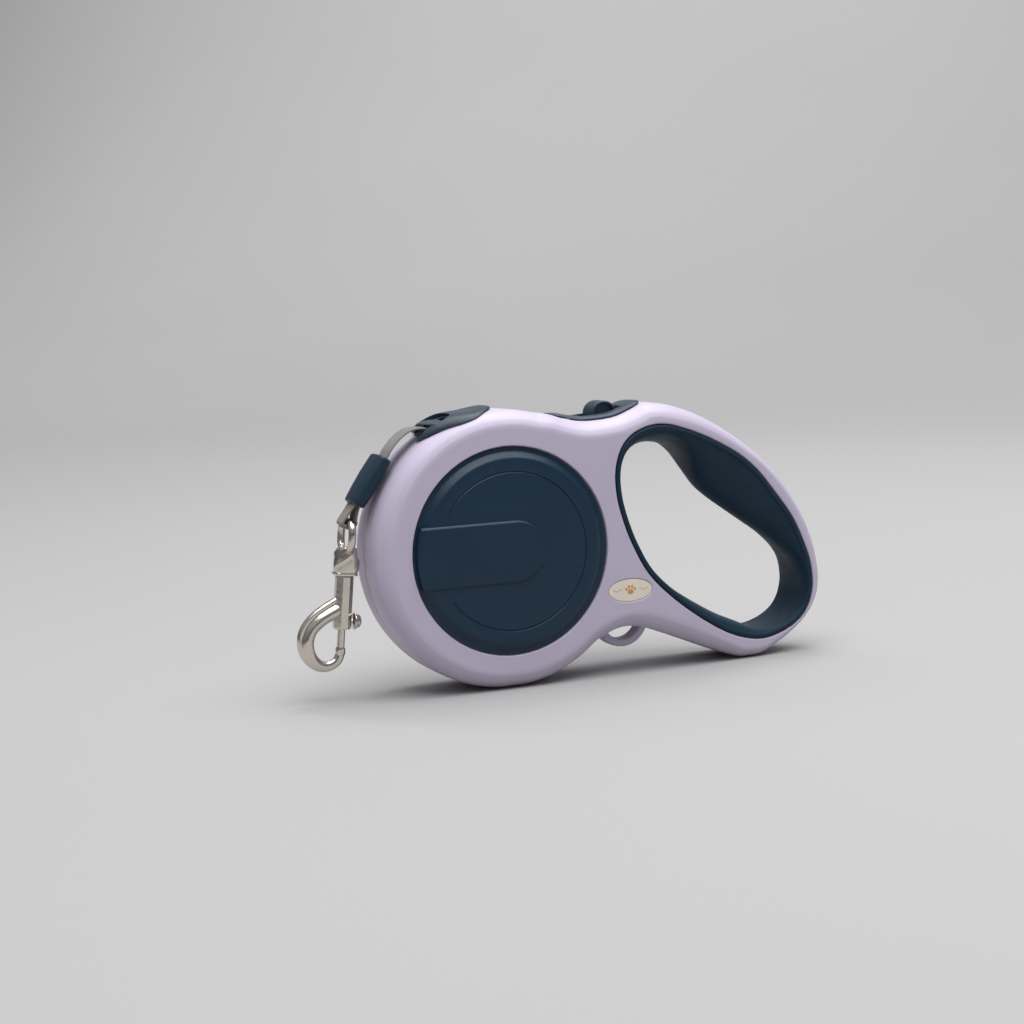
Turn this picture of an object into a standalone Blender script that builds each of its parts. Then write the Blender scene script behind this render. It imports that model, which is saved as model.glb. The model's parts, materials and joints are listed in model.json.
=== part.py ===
"""A hand-held retractable dog leash: a drum with a spring reel, a loop handle and a swivel bolt snap.

World axes: +X towards the handle, -Y the front, +Z up, in metres. The origin is at the middle of the
casing's footprint. Outlines and sizes below are in millimetres from the drum's axis, which lies along Y
at (DRUM_X, DRUM_Z); point() turns them into world metres.
"""

import math

import bmesh
import bpy
from mathutils import Matrix, Vector

MM = 0.001
GAP = 0.3  # between neighbouring pieces

# Driving dimensions of the casing
DRUM_X, DRUM_Z = -40.93, 51.0
DRUM_RADIUS = 51.2
FOOT_Z = -51.0  # small flats here, under the drum and under the handle
HALF_THICKNESS = 16.0
RIM_PROFILE = ((8.0, 0.0), (11.4, 0.8), (14.2, 2.7), (HALF_THICKNESS, 5.4))  # (half width, inset)
WALL = 2.4
CAVITY_PROFILE = ((-1.0, WALL), (8.0, WALL), (12.0, 4.6))
REEL_WELL_RADIUS, REEL_WELL_HALF_WIDTH = 42.6, 12.8
REEL_WALL_RADIUS = 44.4
DISC_RECESS_RADIUS, DISC_RECESS_DEPTH = 38.3, 1.6

# Handle opening: where the liner's lip meets the casing's face
OPENING = (
    (125.8, -8.0), (120.8, 2.6), (113.2, 12.9), (105.5, 21.9), (97.5, 28.4), (88.5, 33.5), (79.8, 37.5),
    (71.5, 40.5), (64.5, 42.3), (57.5, 42.2), (50.1, 39.4), (45.2, 34.2), (42.7, 26.3), (42.8, 17.5),
    (44.8, 8.5), (48.6, -1.8), (54.6, -12.8), (63.0, -21.8), (73.9, -30.4), (86.0, -38.0), (96.5, -42.4),
    (107.0, -43.9), (118.0, -41.0), (125.6, -35.2), (129.1, -26.5), (128.6, -16.8),
)
CROWN = (  # the liner's swell in the middle plane, point for point with OPENING
    (120.2, -11.8), (112.0, -4.5), (104.5, 0.8), (96.8, 6.2), (89.8, 11.2), (84.0, 16.2), (80.2, 22.0),
    (77.2, 28.0), (71.4, 33.2), (63.3, 35.2), (55.6, 34.6), (49.6, 31.4), (46.2, 25.2), (46.2, 17.3),
    (48.1, 9.2), (51.6, -0.2), (57.3, -10.6), (65.2, -18.6), (75.8, -25.6), (87.5, -32.4), (97.3, -36.9),
    (105.8, -40.4), (115.3, -39.9), (122.2, -35.0), (125.9, -27.0), (124.7, -18.4),
)
LIP, LIP_HALF_WIDTH, SWELL_HALF_WIDTH = 1.9, 16.2, 15.25
HANDLE_FROM_DRUM = (  # below the drum, round the handle and back over the saddle
    (36.6, -36.9), (45.0, -33.9), (54.5, -34.6), (68.4, -39.7), (80.0, -44.5), (88.0, -47.8), (95.0, -50.4),
    (100.5, -51.3), (106.0, -50.6), (111.5, -48.6), (117.8, -45.2), (124.2, -40.8), (129.2, -35.6),
    (132.4, -29.6), (133.6, -23.5), (133.2, -17.0), (131.4, -8.4), (128.3, 0.0), (123.8, 8.4), (118.0, 16.9),
    (111.5, 24.2), (104.2, 30.6), (93.8, 37.9), (82.1, 44.4), (71.6, 48.4), (64.0, 50.1), (58.0, 50.3),
    (52.0, 48.2), (44.6, 46.0), (33.5, 45.1), (26.0, 46.4), (19.0, 48.6),
)
SLIM_SPAN = (60.0, 120.0)  # the handle thins from the neck to its far end
SLIMMING, RIM_SLIMMING = 0.30, 0.50
DRUM_ARC = (75.0, 310.0)  # degrees, the part of the rim that follows the drum

# Accessory loop under the neck
LOOP_CENTRE, LOOP_RADII, LOOP_HALF_WIDTH = (49.5, -31.6), (7.9, 10.8), 3.3

# Casing screws: three round the drum, degrees at BOSS_CIRCLE, and three in the handle
BOSS_CIRCLE, BOSS_ANGLES = 46.6, (75.0, 172.0, 245.0)
HANDLE_BOSSES = ((98.0, 31.4), (104.5, -47.4), (70.8, -34.8))
SCREW_PLACES = tuple(
    (BOSS_CIRCLE * math.cos(math.radians(a)), BOSS_CIRCLE * math.sin(math.radians(a))) for a in BOSS_ANGLES
) + HANDLE_BOSSES
BOSS_RADIUS, BOSS_HALF_WIDTH, PILOT_RADIUS, THREAD_RADIUS = 2.2, 10.2, 1.05, 0.8
HEAD_RADIUS, HEAD_WELL_RADIUS, HEAD_SEAT = 1.7, 2.0, 8.0

BADGE_FLOOR = 15.2

# Side covers
COVER_RADIUS, COVER_BEVEL_FOOT, COVER_BEVEL_RADIUS = 38.0, 36.3, 34.0
COVER_FLANGE_TOP, COVER_TOP = 15.2, 17.2
TAB_HALF_WIDTH, TAB_TOP, TAB_EDGE = 11.3, 18.0, 0.7
TAB_CENTRE, TAB_END_RADIUS = 1.2, 36.9
GROOVE_RADIUS, GROOVE_WIDTH, GROOVE_DEPTH = 29.0, 0.7, 0.35

# Reel
HUB_RADIUS, ROLL_RADIUS, FLANGE_RADIUS = 21.1, 39.2, 41.6
BAY_HALF_WIDTH, FLANGE = 5.6, 1.4
TAPE_WIDTH, TAPE = 10.0, 0.9
LOOP_HALF_TAPE = 4.2
TEETH, TOOTH_ROOT, TOOTH_DEPTH_Y, TOOTH_PHASE = 24, 38.6, 3.4, 3.0  # the stem meets a gap
AXLE_RADIUS, AXLE_HALF_LENGTH = 4.2, 12.9
AXLE_HEAD_SEAT = 13.7
BUSH_REAR = -0.4
CUP_RADIUS, CUP_DEPTH = 35.0, 4.2
SPRING_TURNS, SPRING_STEPS, SPRING_STRIP = 6, 16, (0.5, 3.6)

# Brake on the saddle
PAD_SPAN = (22.0, 60.0)
KNOB_X, KNOB_HALF_LENGTH, KNOB_TOP = 44.2, 5.2, 51.9
SLOT_SPAN, SLOT_HALF_WIDTH = (33.6, 51.0), 5.4
STEM_X, STEM_BOTTOM, SHELF_TOP = 31.0, 31.4, 27.6

# Nozzle on the rim: degrees round the drum, half width, height of its crown
CAP_STATIONS = (
    (90.8, 0.7, 0.10), (91.5, 3.4, 0.75), (93.2, 6.4, 1.15), (96.0, 9.3, 0.95), (99.0, 11.5, 0.75),
    (102.5, 12.8, 0.85), (106.0, 13.1, 1.35), (110.0, 12.9, 2.00), (114.0, 12.1, 2.45), (118.0, 10.9, 2.55),
    (122.0, 9.2, 2.20), (125.0, 7.3, 1.40), (127.2, 5.6, 0.70), (128.6, 4.0, 0.15),
)
MOUTH_ANGLE, MOUTH_TILT, MOUTH_SPAN = 119.0, 14.0, (-5.0, 12.0)

# Leash end
SLEEVE_SPAN, SLEEVE_WIDTH, SLEEVE_THICKNESS = (-10.4, 9.3), 13.2, 5.9
SLEEVE_MIDDLE = (-48.8, 27.7)
SLEEVE_TILT = 55.3  # degrees below horizontal
LAYER = 0.62  # from the sleeve's middle to each of the two layers of tape in it
TAPE_BEND, BEND_ANGLES = 2.75, (15, -25, -65, -105, -145, -185)  # round the eye's bar, degrees
EYE_PIVOT = (-56.8, 14.2)
# The tape's route outside the casing, from the nozzle's mouth along the rim to the sleeve
LEAD_LINE = (
    (-23.9, 44.95), (-28.5, 45.9), (-33.0, 45.3), (-37.2, 42.6), (-40.3, 39.2), (-41.85, 36.8), (-43.3, 34.4),
)
HOOK_LEAN = 6.3  # degrees off the vertical
HOOK_LINE = (  # (across, down from the pivot, half thickness) of the hook's middle line
    (-1.4, 28.0, 2.4), (-4.6, 31.9, 2.8), (-8.8, 35.0, 3.0), (-12.0, 38.7, 3.1), (-12.95, 43.6, 3.15),
    (-11.6, 48.6, 2.7), (-8.2, 52.2, 2.0), (-4.6, 53.0, 1.65), (-1.5, 51.0, 1.65), (-0.1, 48.4, 1.7),
    (0.0, 45.9, 1.6),
)
BARREL = (19.9, 38.8)  # distances down from the pivot
BARREL_RADIUS, BORE_RADIUS, BOLT_RADIUS = 3.4, 1.75, 1.3

# Colours: (red, green, blue), roughness, metallic
LAVENDER = ((0.42, 0.37, 0.50), 0.42, 0.0)
NAVY = ((0.018, 0.037, 0.060), 0.40, 0.0)
SOFT_NAVY = ((0.020, 0.040, 0.064), 0.62, 0.0)
NICKEL = ((0.62, 0.59, 0.54), 0.22, 1.0)
STEEL = ((0.50, 0.50, 0.50), 0.35, 1.0)
GREY_TAPE = ((0.24, 0.24, 0.22), 0.85, 0.0)
CREAM = ((0.80, 0.74, 0.62), 0.35, 0.0)
WHITE_PLASTIC = ((0.70, 0.70, 0.68), 0.45, 0.0)
BLACK_PLASTIC = ((0.03, 0.03, 0.03), 0.45, 0.0)


# ---------------------------------------------------------------- helpers
def point(x, y, z):
    """World metres of a place given in millimetres from the drum's axis."""
    return Vector(((x + DRUM_X) * MM, y * MM, (z + DRUM_Z) * MM))


def material(name, look):
    colour, roughness, metallic = look
    made = bpy.data.materials.get(name) or bpy.data.materials.new(name)
    made.use_nodes = True
    shader = made.node_tree.nodes["Principled BSDF"]
    shader.inputs["Base Color"].default_value = (*colour, 1.0)
    shader.inputs["Roughness"].default_value = roughness
    shader.inputs["Metallic"].default_value = metallic
    return made


def add_object(name, mesh, look, origin):
    """An object whose mesh is given in world metres and whose own origin is moved to origin."""
    mesh.transform(Matrix.Translation(-origin))
    mesh.shade_smooth()
    mesh.set_sharp_from_angle(angle=math.radians(35))
    made = bpy.data.objects.new(name, mesh)
    made.location = origin
    bpy.context.scene.collection.objects.link(made)
    if look:
        made.data.materials.append(material(name + "_material", look))
    return made


def mesh_from_rings(name, rings, closed=False):
    """Quads between successive rings of points; end faces, or the last ring joined to the first."""
    bm = bmesh.new()
    loops = [[bm.verts.new(p) for p in ring] for ring in rings]
    pairs = list(zip(loops, loops[1:]))
    if closed:
        pairs.append((loops[-1], loops[0]))
    else:
        bm.faces.new(loops[0][::-1])
        bm.faces.new(loops[-1])
    for first, second in pairs:
        count = len(first)
        for i in range(count):
            j = (i + 1) % count
            bm.faces.new((first[i], first[j], second[j], second[i]))
    bmesh.ops.recalc_face_normals(bm, faces=bm.faces)
    mesh = bpy.data.meshes.new(name)
    bm.to_mesh(mesh)
    bm.free()
    return mesh


def solid(name, rings, look=None, origin=None, closed=False):
    """A solid through rings of (x, y, z) in millimetres from the drum's axis."""
    mesh = mesh_from_rings(name, [[point(*p) for p in ring] for ring in rings], closed)
    made = add_object(name, mesh, look, point(0, 0, 0) if origin is None else point(*origin))
    if not look:
        made.hide_render = True
        made.display_type = "WIRE"
    return made


def combine(target, operation, *others):
    for other in others:
        step = target.modifiers.new(f"{operation.lower()} {other.name}", "BOOLEAN")
        step.operation = operation
        step.object = other


def smooth(points, steps, closed=True):
    """Points of a Catmull-Rom curve through points, steps to each stretch."""
    count = len(points)
    spans = count if closed else count - 1
    out = []
    for i in range(spans):
        if closed:
            a, b, c, d = (points[(i + k) % count] for k in (-1, 0, 1, 2))
        else:
            a, b, c, d = (points[min(max(i + k, 0), count - 1)] for k in (-1, 0, 1, 2))
        for s in range(steps):
            t = s / steps
            out.append(tuple(
                0.5 * (2 * q + (r - p) * t + (2 * p - 5 * q + 4 * r - u) * t * t + (3 * q - p - 3 * r + u) * t ** 3)
                for p, q, r, u in zip(a, b, c, d)
            ))
    if not closed:
        out.append(tuple(points[-1]))
    return out


def circle(radius, count, centre=(0.0, 0.0), phase=0.0):
    turns = [2 * math.pi * i / count + phase for i in range(count)]
    return [(centre[0] + radius * math.cos(a), centre[1] + radius * math.sin(a)) for a in turns]


def normals(outline):
    """Outward unit normals of a counter-clockwise outline."""
    out = []
    for i in range(len(outline)):
        (ax, az), (bx, bz) = outline[i - 1], outline[(i + 1) % len(outline)]
        length = math.hypot(bx - ax, bz - az)
        out.append(((bz - az) / length, (ax - bx) / length))
    return out


def inset(outline, distance):
    return [(x - nx * distance, z - nz * distance) for (x, z), (nx, nz) in zip(outline, normals(outline))]


def thinning(x):
    """The share of its thickness that the handle keeps at x."""
    t = max(0.0, min((x - SLIM_SPAN[0]) / (SLIM_SPAN[1] - SLIM_SPAN[0]), 1.0))
    return 1 - SLIMMING * t * t * (3 - 2 * t)


def slimmed(rings):
    return [[(x, y * thinning(x), z) for x, y, z in ring] for ring in rings]


def stepped_in(outline, distance):
    """The outline moved inwards, by less where the handle is thin."""
    share = RIM_SLIMMING / SLIMMING
    return [(x - nx * distance * (1 - share * (1 - thinning(x))), z - nz * distance * (1 - share * (1 - thinning(x))))
            for (x, z), (nx, nz) in zip(outline, normals(outline))]


def at(outline, y):
    return [(x, y, z) for x, z in outline]


def prism(name, outline, y0, y1, look=None, origin=None):
    return solid(name, [at(outline, y0), at(outline, y1)], look, origin)


def turned(name, profile, count, look=None, origin=None, centre=(0.0, 0.0)):
    """A solid of revolution about Y: profile is a closed loop of (radius, y)."""
    rings = []
    for i in range(count):
        a = 2 * math.pi * i / count
        rings.append([(centre[0] + r * math.cos(a), y, centre[1] + r * math.sin(a)) for r, y in profile])
    return solid(name, rings, look, origin, closed=True)


def disc(name, radius, y0, y1, count=24, look=None, centre=(0.0, 0.0), origin=None):
    return prism(name, circle(radius, count, centre), y0, y1, look, origin)


def box(name, low, high, look=None, origin=None):
    outline = [(low[0], low[2]), (high[0], low[2]), (high[0], high[2]), (low[0], high[2])]
    return prism(name, outline, low[1], high[1], look, origin)


# ---------------------------------------------------------------- casing
def casing_outline():
    start, end = (math.radians(a) for a in DRUM_ARC)
    count = 47
    angles = [start + (end - start) * i / count for i in range(count + 1)]
    arc = [(DRUM_RADIUS * math.cos(a), DRUM_RADIUS * math.sin(a)) for a in angles]
    rest = smooth([arc[-2], arc[-1], *HANDLE_FROM_DRUM, arc[0], arc[1]], 2, closed=False)
    outline = arc + rest[3:-4]  # without the stretches that only steer the curve's ends
    return [(x, max(z, FOOT_Z)) for x, z in outline]


def opening_outline():
    return smooth(OPENING, 2)


def casing_half(name, side):
    """side is -1 for the front half and +1 for the rear half."""
    outline = casing_outline()
    rim = slimmed([at(stepped_in(outline, d), side * w) for w, d in RIM_PROFILE])
    half = solid(name, [at(outline, side * GAP / 2), *rim], LAVENDER)
    hole = prism(name + "_opening", opening_outline(), -20, 20)
    well = disc(name + "_reel_well", REEL_WELL_RADIUS, -side, side * REEL_WELL_HALF_WIDTH, 48)
    cavity = solid(name + "_cavity", slimmed([at(inset(outline, d), side * w) for w, d in CAVITY_PROFILE]))
    core = disc(name + "_reel_wall", REEL_WALL_RADIUS, -3 * side, side * 15, 48)
    combine(cavity, "DIFFERENCE", core)
    loop = accessory_loop(name, side)
    floor = HALF_THICKNESS - DISC_RECESS_DEPTH
    recess = disc(name + "_cover_recess", DISC_RECESS_RADIUS, side * floor, side * 20, 48)
    combine(half, "UNION", loop)
    combine(half, "DIFFERENCE", hole, cavity, well, recess)
    for i, place in enumerate(SCREW_PLACES):
        far = side * BOSS_HALF_WIDTH * thinning(place[0])
        combine(half, "UNION", disc(f"{name}_boss_{i}", BOSS_RADIUS, side * GAP / 2, far, 8, centre=place))
    shelf = box(name + "_spring_shelf", (33.4, min(side * GAP / 2, side * 6.4), SHELF_TOP - 2.4),
                (39.0, max(side * GAP / 2, side * 6.4), SHELF_TOP))
    combine(half, "UNION", shelf)
    hub = disc(name + "_hub", 6.6, side * 11.9, side * 13.4, 20)
    combine(half, "UNION", hub)
    socket = disc(name + "_axle_socket", AXLE_RADIUS + GAP, side * 5, side * (AXLE_HALF_LENGTH + GAP), 20)
    combine(half, "DIFFERENCE", socket, *casing_cutters(name, side))
    return half


def casing_cutters(name, side):
    cutters = []
    for i, place in enumerate(SCREW_PLACES):
        share = thinning(place[0])
        if side > 0:
            cutters.append(disc(f"{name}_screw_hole_{i}", PILOT_RADIUS, -2, 18, 8, centre=place))
            cutters.append(disc(f"{name}_head_well_{i}", HEAD_WELL_RADIUS, HEAD_SEAT * share, 18, 8, centre=place))
        else:
            cutters.append(disc(f"{name}_pilot_{i}", PILOT_RADIUS, 2, -9 * share, 8, centre=place))
    # tape passage from the reel to the nozzle's mouth, and the brake stem's way down to the ratchet
    angle = math.radians(10.5)
    along, across = (-math.cos(angle), math.sin(angle)), (math.sin(angle), math.cos(angle))
    middle = (-12.0, 42.4)
    corners = [(-19, -2.6), (19, -2.6), (19, 2.6), (-19, 2.6)]
    passage = [(middle[0] + s * along[0] + t * across[0], middle[1] + s * along[1] + t * across[1]) for s, t in corners]
    cutters.append(prism(name + "_tape_passage", passage, -TAPE_WIDTH / 2 - 1, TAPE_WIDTH / 2 + 1))
    cutters.append(box(name + "_brake_slot", (SLOT_SPAN[0] - 0.6, -6.2, 38.4), (SLOT_SPAN[1] + 0.6, 6.2, 60)))
    cutters.append(box(name + "_brake_well", (STEM_X - 3.4, -10.6, SHELF_TOP), (42.0, 6.2, 42.4)))
    if side < 0:
        cutters.append(box(name + "_stem_way", (STEM_X - 3.4, -10.6, 20), (STEM_X + 3.4, -6.6, 40)))
        cutters.append(prism(name + "_badge_recess", badge_outline(GAP), -BADGE_FLOOR, -20))
    else:
        cutters.append(disc(name + "_axle_screw_hole", 1.6, 8, 20, 12))
        cutters.append(disc(name + "_axle_head_well", 3.4, AXLE_HEAD_SEAT, 20, 12))
    return cutters


def accessory_loop(name, side):
    count = 16
    r_in, r_out = LOOP_RADII
    rings = []
    for i in range(count):
        a = 2 * math.pi * i / count
        c, s = math.cos(a), math.sin(a)
        section = ((r_in, GAP / 2), (r_out, GAP / 2), (r_out, LOOP_HALF_WIDTH - 0.9), (r_out - 0.9, LOOP_HALF_WIDTH),
                   (r_in + 0.6, LOOP_HALF_WIDTH), (r_in, LOOP_HALF_WIDTH - 0.6))
        rings.append([(LOOP_CENTRE[0] + r * c, side * y, LOOP_CENTRE[1] + r * s) for r, y in section])
    return solid(name + "_accessory_loop", rings, closed=True)


def badge_outline(grow):
    centre, half_length, half_height = (47.0, -18.8), 9.0 + grow, 4.3 + grow
    return [(centre[0] + half_length * math.cos(a), centre[1] + half_height * math.sin(a))
            for a in (2 * math.pi * i / 28 for i in range(28))]


def badge():
    outline = badge_outline(0)
    back = BADGE_FLOOR + GAP
    solid("badge", [at(outline, -back), at(outline, -back - 0.2), at(inset(outline, 0.5), -back - 0.4)], CREAM)


def side_cover(name, side):
    seat = HALF_THICKNESS - DISC_RECESS_DEPTH + GAP
    groove = GROOVE_WIDTH / 2
    profile = [
        (COVER_RADIUS, seat), (COVER_RADIUS, COVER_FLANGE_TOP), (COVER_BEVEL_FOOT, COVER_FLANGE_TOP),
        (COVER_BEVEL_RADIUS, COVER_TOP), (GROOVE_RADIUS + groove, COVER_TOP),
        (GROOVE_RADIUS, COVER_TOP - GROOVE_DEPTH), (GROOVE_RADIUS - groove, COVER_TOP),
    ]
    rings = [at(circle(r, 48), side * y) for r, y in profile]
    cover = solid(name, rings, NAVY)
    arc = [(TAB_CENTRE + TAB_HALF_WIDTH * math.cos(a), TAB_HALF_WIDTH * math.sin(a))
           for a in (math.pi * (i / 14 - 0.5) for i in range(15))]
    reach = math.asin(TAB_HALF_WIDTH / TAB_END_RADIUS)
    outline = arc + [(-TAB_END_RADIUS * math.cos(a), TAB_END_RADIUS * math.sin(a))
                     for a in (reach * (1 - i / 3) for i in range(7))]
    top = inset(outline, TAB_EDGE)
    tab = solid(name + "_tab", [at(outline, side * (COVER_FLANGE_TOP - 0.25)), at(outline, side * (TAB_TOP - TAB_EDGE)),
                                at(top, side * TAB_TOP)])
    combine(cover, "UNION", tab)
    if side > 0:
        combine(cover, "DIFFERENCE", disc(name + "_screw_relief", 4.2, seat - 1, AXLE_HEAD_SEAT + 1.9, 20))


# ---------------------------------------------------------------- grip
def handle_grip():
    outer = inset(opening_outline(), GAP)
    crown = smooth(CROWN, 2)
    rings = [at(outer, -LIP_HALF_WIDTH), at(outer, LIP_HALF_WIDTH)]
    half = (LIP_HALF_WIDTH, SWELL_HALF_WIDTH, 13.0, 9.0, 4.5)
    for y in (*half, 0.0, *(-w for w in reversed(half))):
        swell = (1 - min(abs(y) / SWELL_HALF_WIDTH, 1.0) ** 2.2) ** 0.7
        ring = []
        for (x, z), (nx, nz), (cx, cz) in zip(outer, normals(outer), crown):
            lip_x, lip_z = x - nx * LIP, z - nz * LIP
            ring.append((lip_x + (cx - lip_x) * swell, y, lip_z + (cz - lip_z) * swell))
        rings.append(ring)
    solid("handle_grip", slimmed(rings), SOFT_NAVY, closed=True)


# ---------------------------------------------------------------- pads on the rim
def rim_drop(y):
    """How far the rim's surface lies below its crown at distance y from the middle plane."""
    profile = ((0.0, 0.0), *RIM_PROFILE)
    for (w0, d0), (w1, d1) in zip(profile, profile[1:]):
        if abs(y) <= w1:
            return d0 + (d1 - d0) * (abs(y) - w0) / (w1 - w0)
    return profile[-1][1]


def rim_pad(name, stations, across=8):
    """A pad lying on the rim. stations: (x, z, nx, nz, half width, height) along its middle line."""
    rings = []
    for x, z, nx, nz, half, height in stations:
        top, bottom = [], []
        for k in range(across + 1):
            y = half * (2 * k / across - 1)
            edge = 1 - abs(2 * k / across - 1) ** 6
            up = GAP + 0.25 + height * (0.45 + 0.55 * edge) - rim_drop(y)
            down = GAP + 0.15 - rim_drop(y)
            top.append((x + nx * up, y, z + nz * up))
            bottom.append((x + nx * down, y, z + nz * down))
        rings.append(top + bottom[::-1])
    return solid(name, rings, NAVY)


def nozzle():
    stations = []
    for degrees, half, height in CAP_STATIONS:
        c, s = math.cos(math.radians(degrees)), math.sin(math.radians(degrees))
        stations.append((DRUM_RADIUS * c, DRUM_RADIUS * s, c, s, half, height))
    pad = rim_pad("nozzle", stations)
    a, tilt = math.radians(MOUTH_ANGLE), math.radians(MOUTH_TILT)
    along, across = (-math.cos(tilt), -math.sin(tilt)), (-math.sin(tilt), math.cos(tilt))
    x, z = DRUM_RADIUS * math.cos(a), DRUM_RADIUS * math.sin(a)
    near, far = MOUTH_SPAN
    outline = [(x + s * along[0] + t * across[0], z + s * along[1] + t * across[1])
               for s, t in ((near, -5), (far, -5), (far, 5), (near, 5))]
    mouth = prism("nozzle_mouth", outline, -TAPE_WIDTH / 2 - 0.9, TAPE_WIDTH / 2 + 0.9)
    combine(pad, "DIFFERENCE", mouth)


def button_bezel():
    outline = casing_outline()
    facing = normals(outline)
    stretch = [(p, n) for p, n in zip(outline, facing) if p[1] > 40 and PAD_SPAN[0] <= p[0] <= PAD_SPAN[1]]
    stretch.sort(key=lambda item: item[0][0])
    low, high = stretch[0][0][0], stretch[-1][0][0]
    stations = []
    for (x, z), (nx, nz) in stretch:
        t = (x - low) / (high - low)
        half = 2.0 + 7.4 * math.sin(math.pi * min(t * 0.80 + 0.06, 1)) ** 0.8
        stations.append((x, z, nx, nz, half if t < 0.97 else 4.5, 1.1))
    pad = rim_pad("button_bezel", stations)
    slot = box("button_bezel_slot", (SLOT_SPAN[0], -SLOT_HALF_WIDTH, 40), (SLOT_SPAN[1], SLOT_HALF_WIDTH, 60))
    combine(pad, "DIFFERENCE", slot)


# ---------------------------------------------------------------- brake
def brake():
    """Button with its stem, the sliding knob on it and the return spring under it."""
    half = SLOT_HALF_WIDTH - 0.6
    outline = [(STEM_X - 2.6, 42.0), (STEM_X - 2.6, 39.4), (49.4, 43.2), (49.4, 45.0), (36.0, 44.6), (34.4, 42.0)]
    button = prism("brake_button", outline, -half, half, NAVY, (KNOB_X, 0, 45.0))
    stem = box("brake_button_stem", (STEM_X - 2.6, -9.8, STEM_BOTTOM), (STEM_X - 0.2, -7.4, 41.6))
    bridge = box("brake_button_bridge", (STEM_X - 2.6, -9.8, 39.8), (STEM_X - 0.2, 0, 41.8))
    combine(button, "UNION", bridge, stem)
    arc = [(KNOB_X + KNOB_HALF_LENGTH * math.cos(a), 46.9 + (KNOB_TOP - 46.9) * math.sin(a) ** 0.8)
           for a in (math.pi * i / 10 for i in range(11))]
    arc += [(KNOB_X - KNOB_HALF_LENGTH, 45.5), (KNOB_X + KNOB_HALF_LENGTH, 45.5)]
    narrow = 4.3
    rings = [at(inset(arc, 0.6), -narrow), at(arc, -narrow + 0.7), at(arc, narrow - 0.7), at(inset(arc, 0.6), narrow)]
    solid("lock_knob", rings, NAVY, (KNOB_X, 0, 45.3))
    coil("brake_spring", (36.2, 0.0, SHELF_TOP + GAP), (0, 0, 1), 1.9, 0.28, 12.0, 5, 8)


def coil(name, start, axis, radius, wire, height, turns, per_turn=9, sides=4):
    """A round-wire compression spring from start along axis, in millimetres from the drum's axis."""
    axis = Vector(axis).normalized()
    u = axis.orthogonal().normalized()
    v = axis.cross(u)
    start = Vector(start)
    rings = []
    count = turns * per_turn
    for i in range(count + 1):
        a = 2 * math.pi * i / per_turn
        radial = u * math.cos(a) + v * math.sin(a)
        centre = start + radial * radius + axis * (wire + (height - 2 * wire) * i / count)
        ring = []
        for k in range(sides):
            b = 2 * math.pi * k / sides
            ring.append(tuple(centre + radial * wire * math.cos(b) + axis * wire * math.sin(b)))
        rings.append(ring)
    return solid(name, rings, STEEL, tuple(start))


# ---------------------------------------------------------------- reel
def reel():
    front = -BAY_HALF_WIDTH
    back = front - FLANGE
    ratchet = back - TOOTH_DEPTH_Y
    bore = AXLE_RADIUS + 1.5
    profile = [
        (bore, ratchet + 1.2), (bore, front), (bore, -front - 1.0), (8.2, -front - 1.0), (8.2, front),
        (HUB_RADIUS - 2.2, front), (HUB_RADIUS - 2.2, -front), (HUB_RADIUS, -front), (HUB_RADIUS, front),
        (FLANGE_RADIUS, front), (FLANGE_RADIUS, back), (9.0, back), (9.0, ratchet + 1.2),
    ]
    made = turned("reel", profile, 36, BLACK_PLASTIC)
    count = TEETH * 4
    outline = []
    for i in range(count):
        a = 2 * math.pi * (i + 0.5) / count + math.radians(TOOTH_PHASE)
        r = FLANGE_RADIUS if i % 4 < 2 else TOOTH_ROOT
        outline.append((r * math.cos(a), r * math.sin(a)))
    ring = prism("reel_ratchet", outline, ratchet, back + 0.4)
    bore_cut = disc("reel_ratchet_bore", TOOTH_ROOT - 3.0, ratchet - 1, back + 1, 36)
    combine(ring, "DIFFERENCE", bore_cut)
    combine(made, "UNION", ring)
    return made


def reel_rear_flange():
    near = BAY_HALF_WIDTH + GAP
    far = near + FLANGE
    rim = far + CUP_DEPTH
    profile = [
        (AXLE_RADIUS + 1.5 + 3.2, near), (FLANGE_RADIUS, near), (FLANGE_RADIUS, far), (CUP_RADIUS + 1.5, far),
        (CUP_RADIUS + 1.5, rim), (CUP_RADIUS, rim), (CUP_RADIUS, far), (AXLE_RADIUS + 1.5 + 3.2, far),
    ]
    return turned("reel_rear_flange", profile[::-1], 36, BLACK_PLASTIC)


def spring_cup_lid():
    near = BAY_HALF_WIDTH + GAP + FLANGE + CUP_DEPTH + GAP
    bore = 7.2
    profile = [(bore, near), (CUP_RADIUS + 1.5, near), (CUP_RADIUS + 1.5, near + 0.6), (bore, near + 0.6)]
    return turned("spring_cup_lid", profile[::-1], 36, WHITE_PLASTIC)


def mainspring():
    """A flat strip wound from an eye round the axle out to the cup's wall."""
    thick, wide = SPRING_STRIP
    inner, outer = AXLE_RADIUS + 1.0 + thick, CUP_RADIUS - 0.9
    middle = BAY_HALF_WIDTH + GAP + FLANGE + CUP_DEPTH / 2
    count = SPRING_TURNS * SPRING_STEPS
    rings = []
    for i in range(count + 1):
        a = 2 * math.pi * i / SPRING_STEPS
        r = inner + (outer - inner) * i / count
        ring = []
        for dr, dy in ((-0.5, -0.5), (0.5, -0.5), (0.5, 0.5), (-0.5, 0.5)):
            ring.append(((r + dr * thick) * math.cos(a), middle + dy * wide, (r + dr * thick) * math.sin(a)))
        rings.append(ring)
    return solid("mainspring", rings, STEEL)


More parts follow.
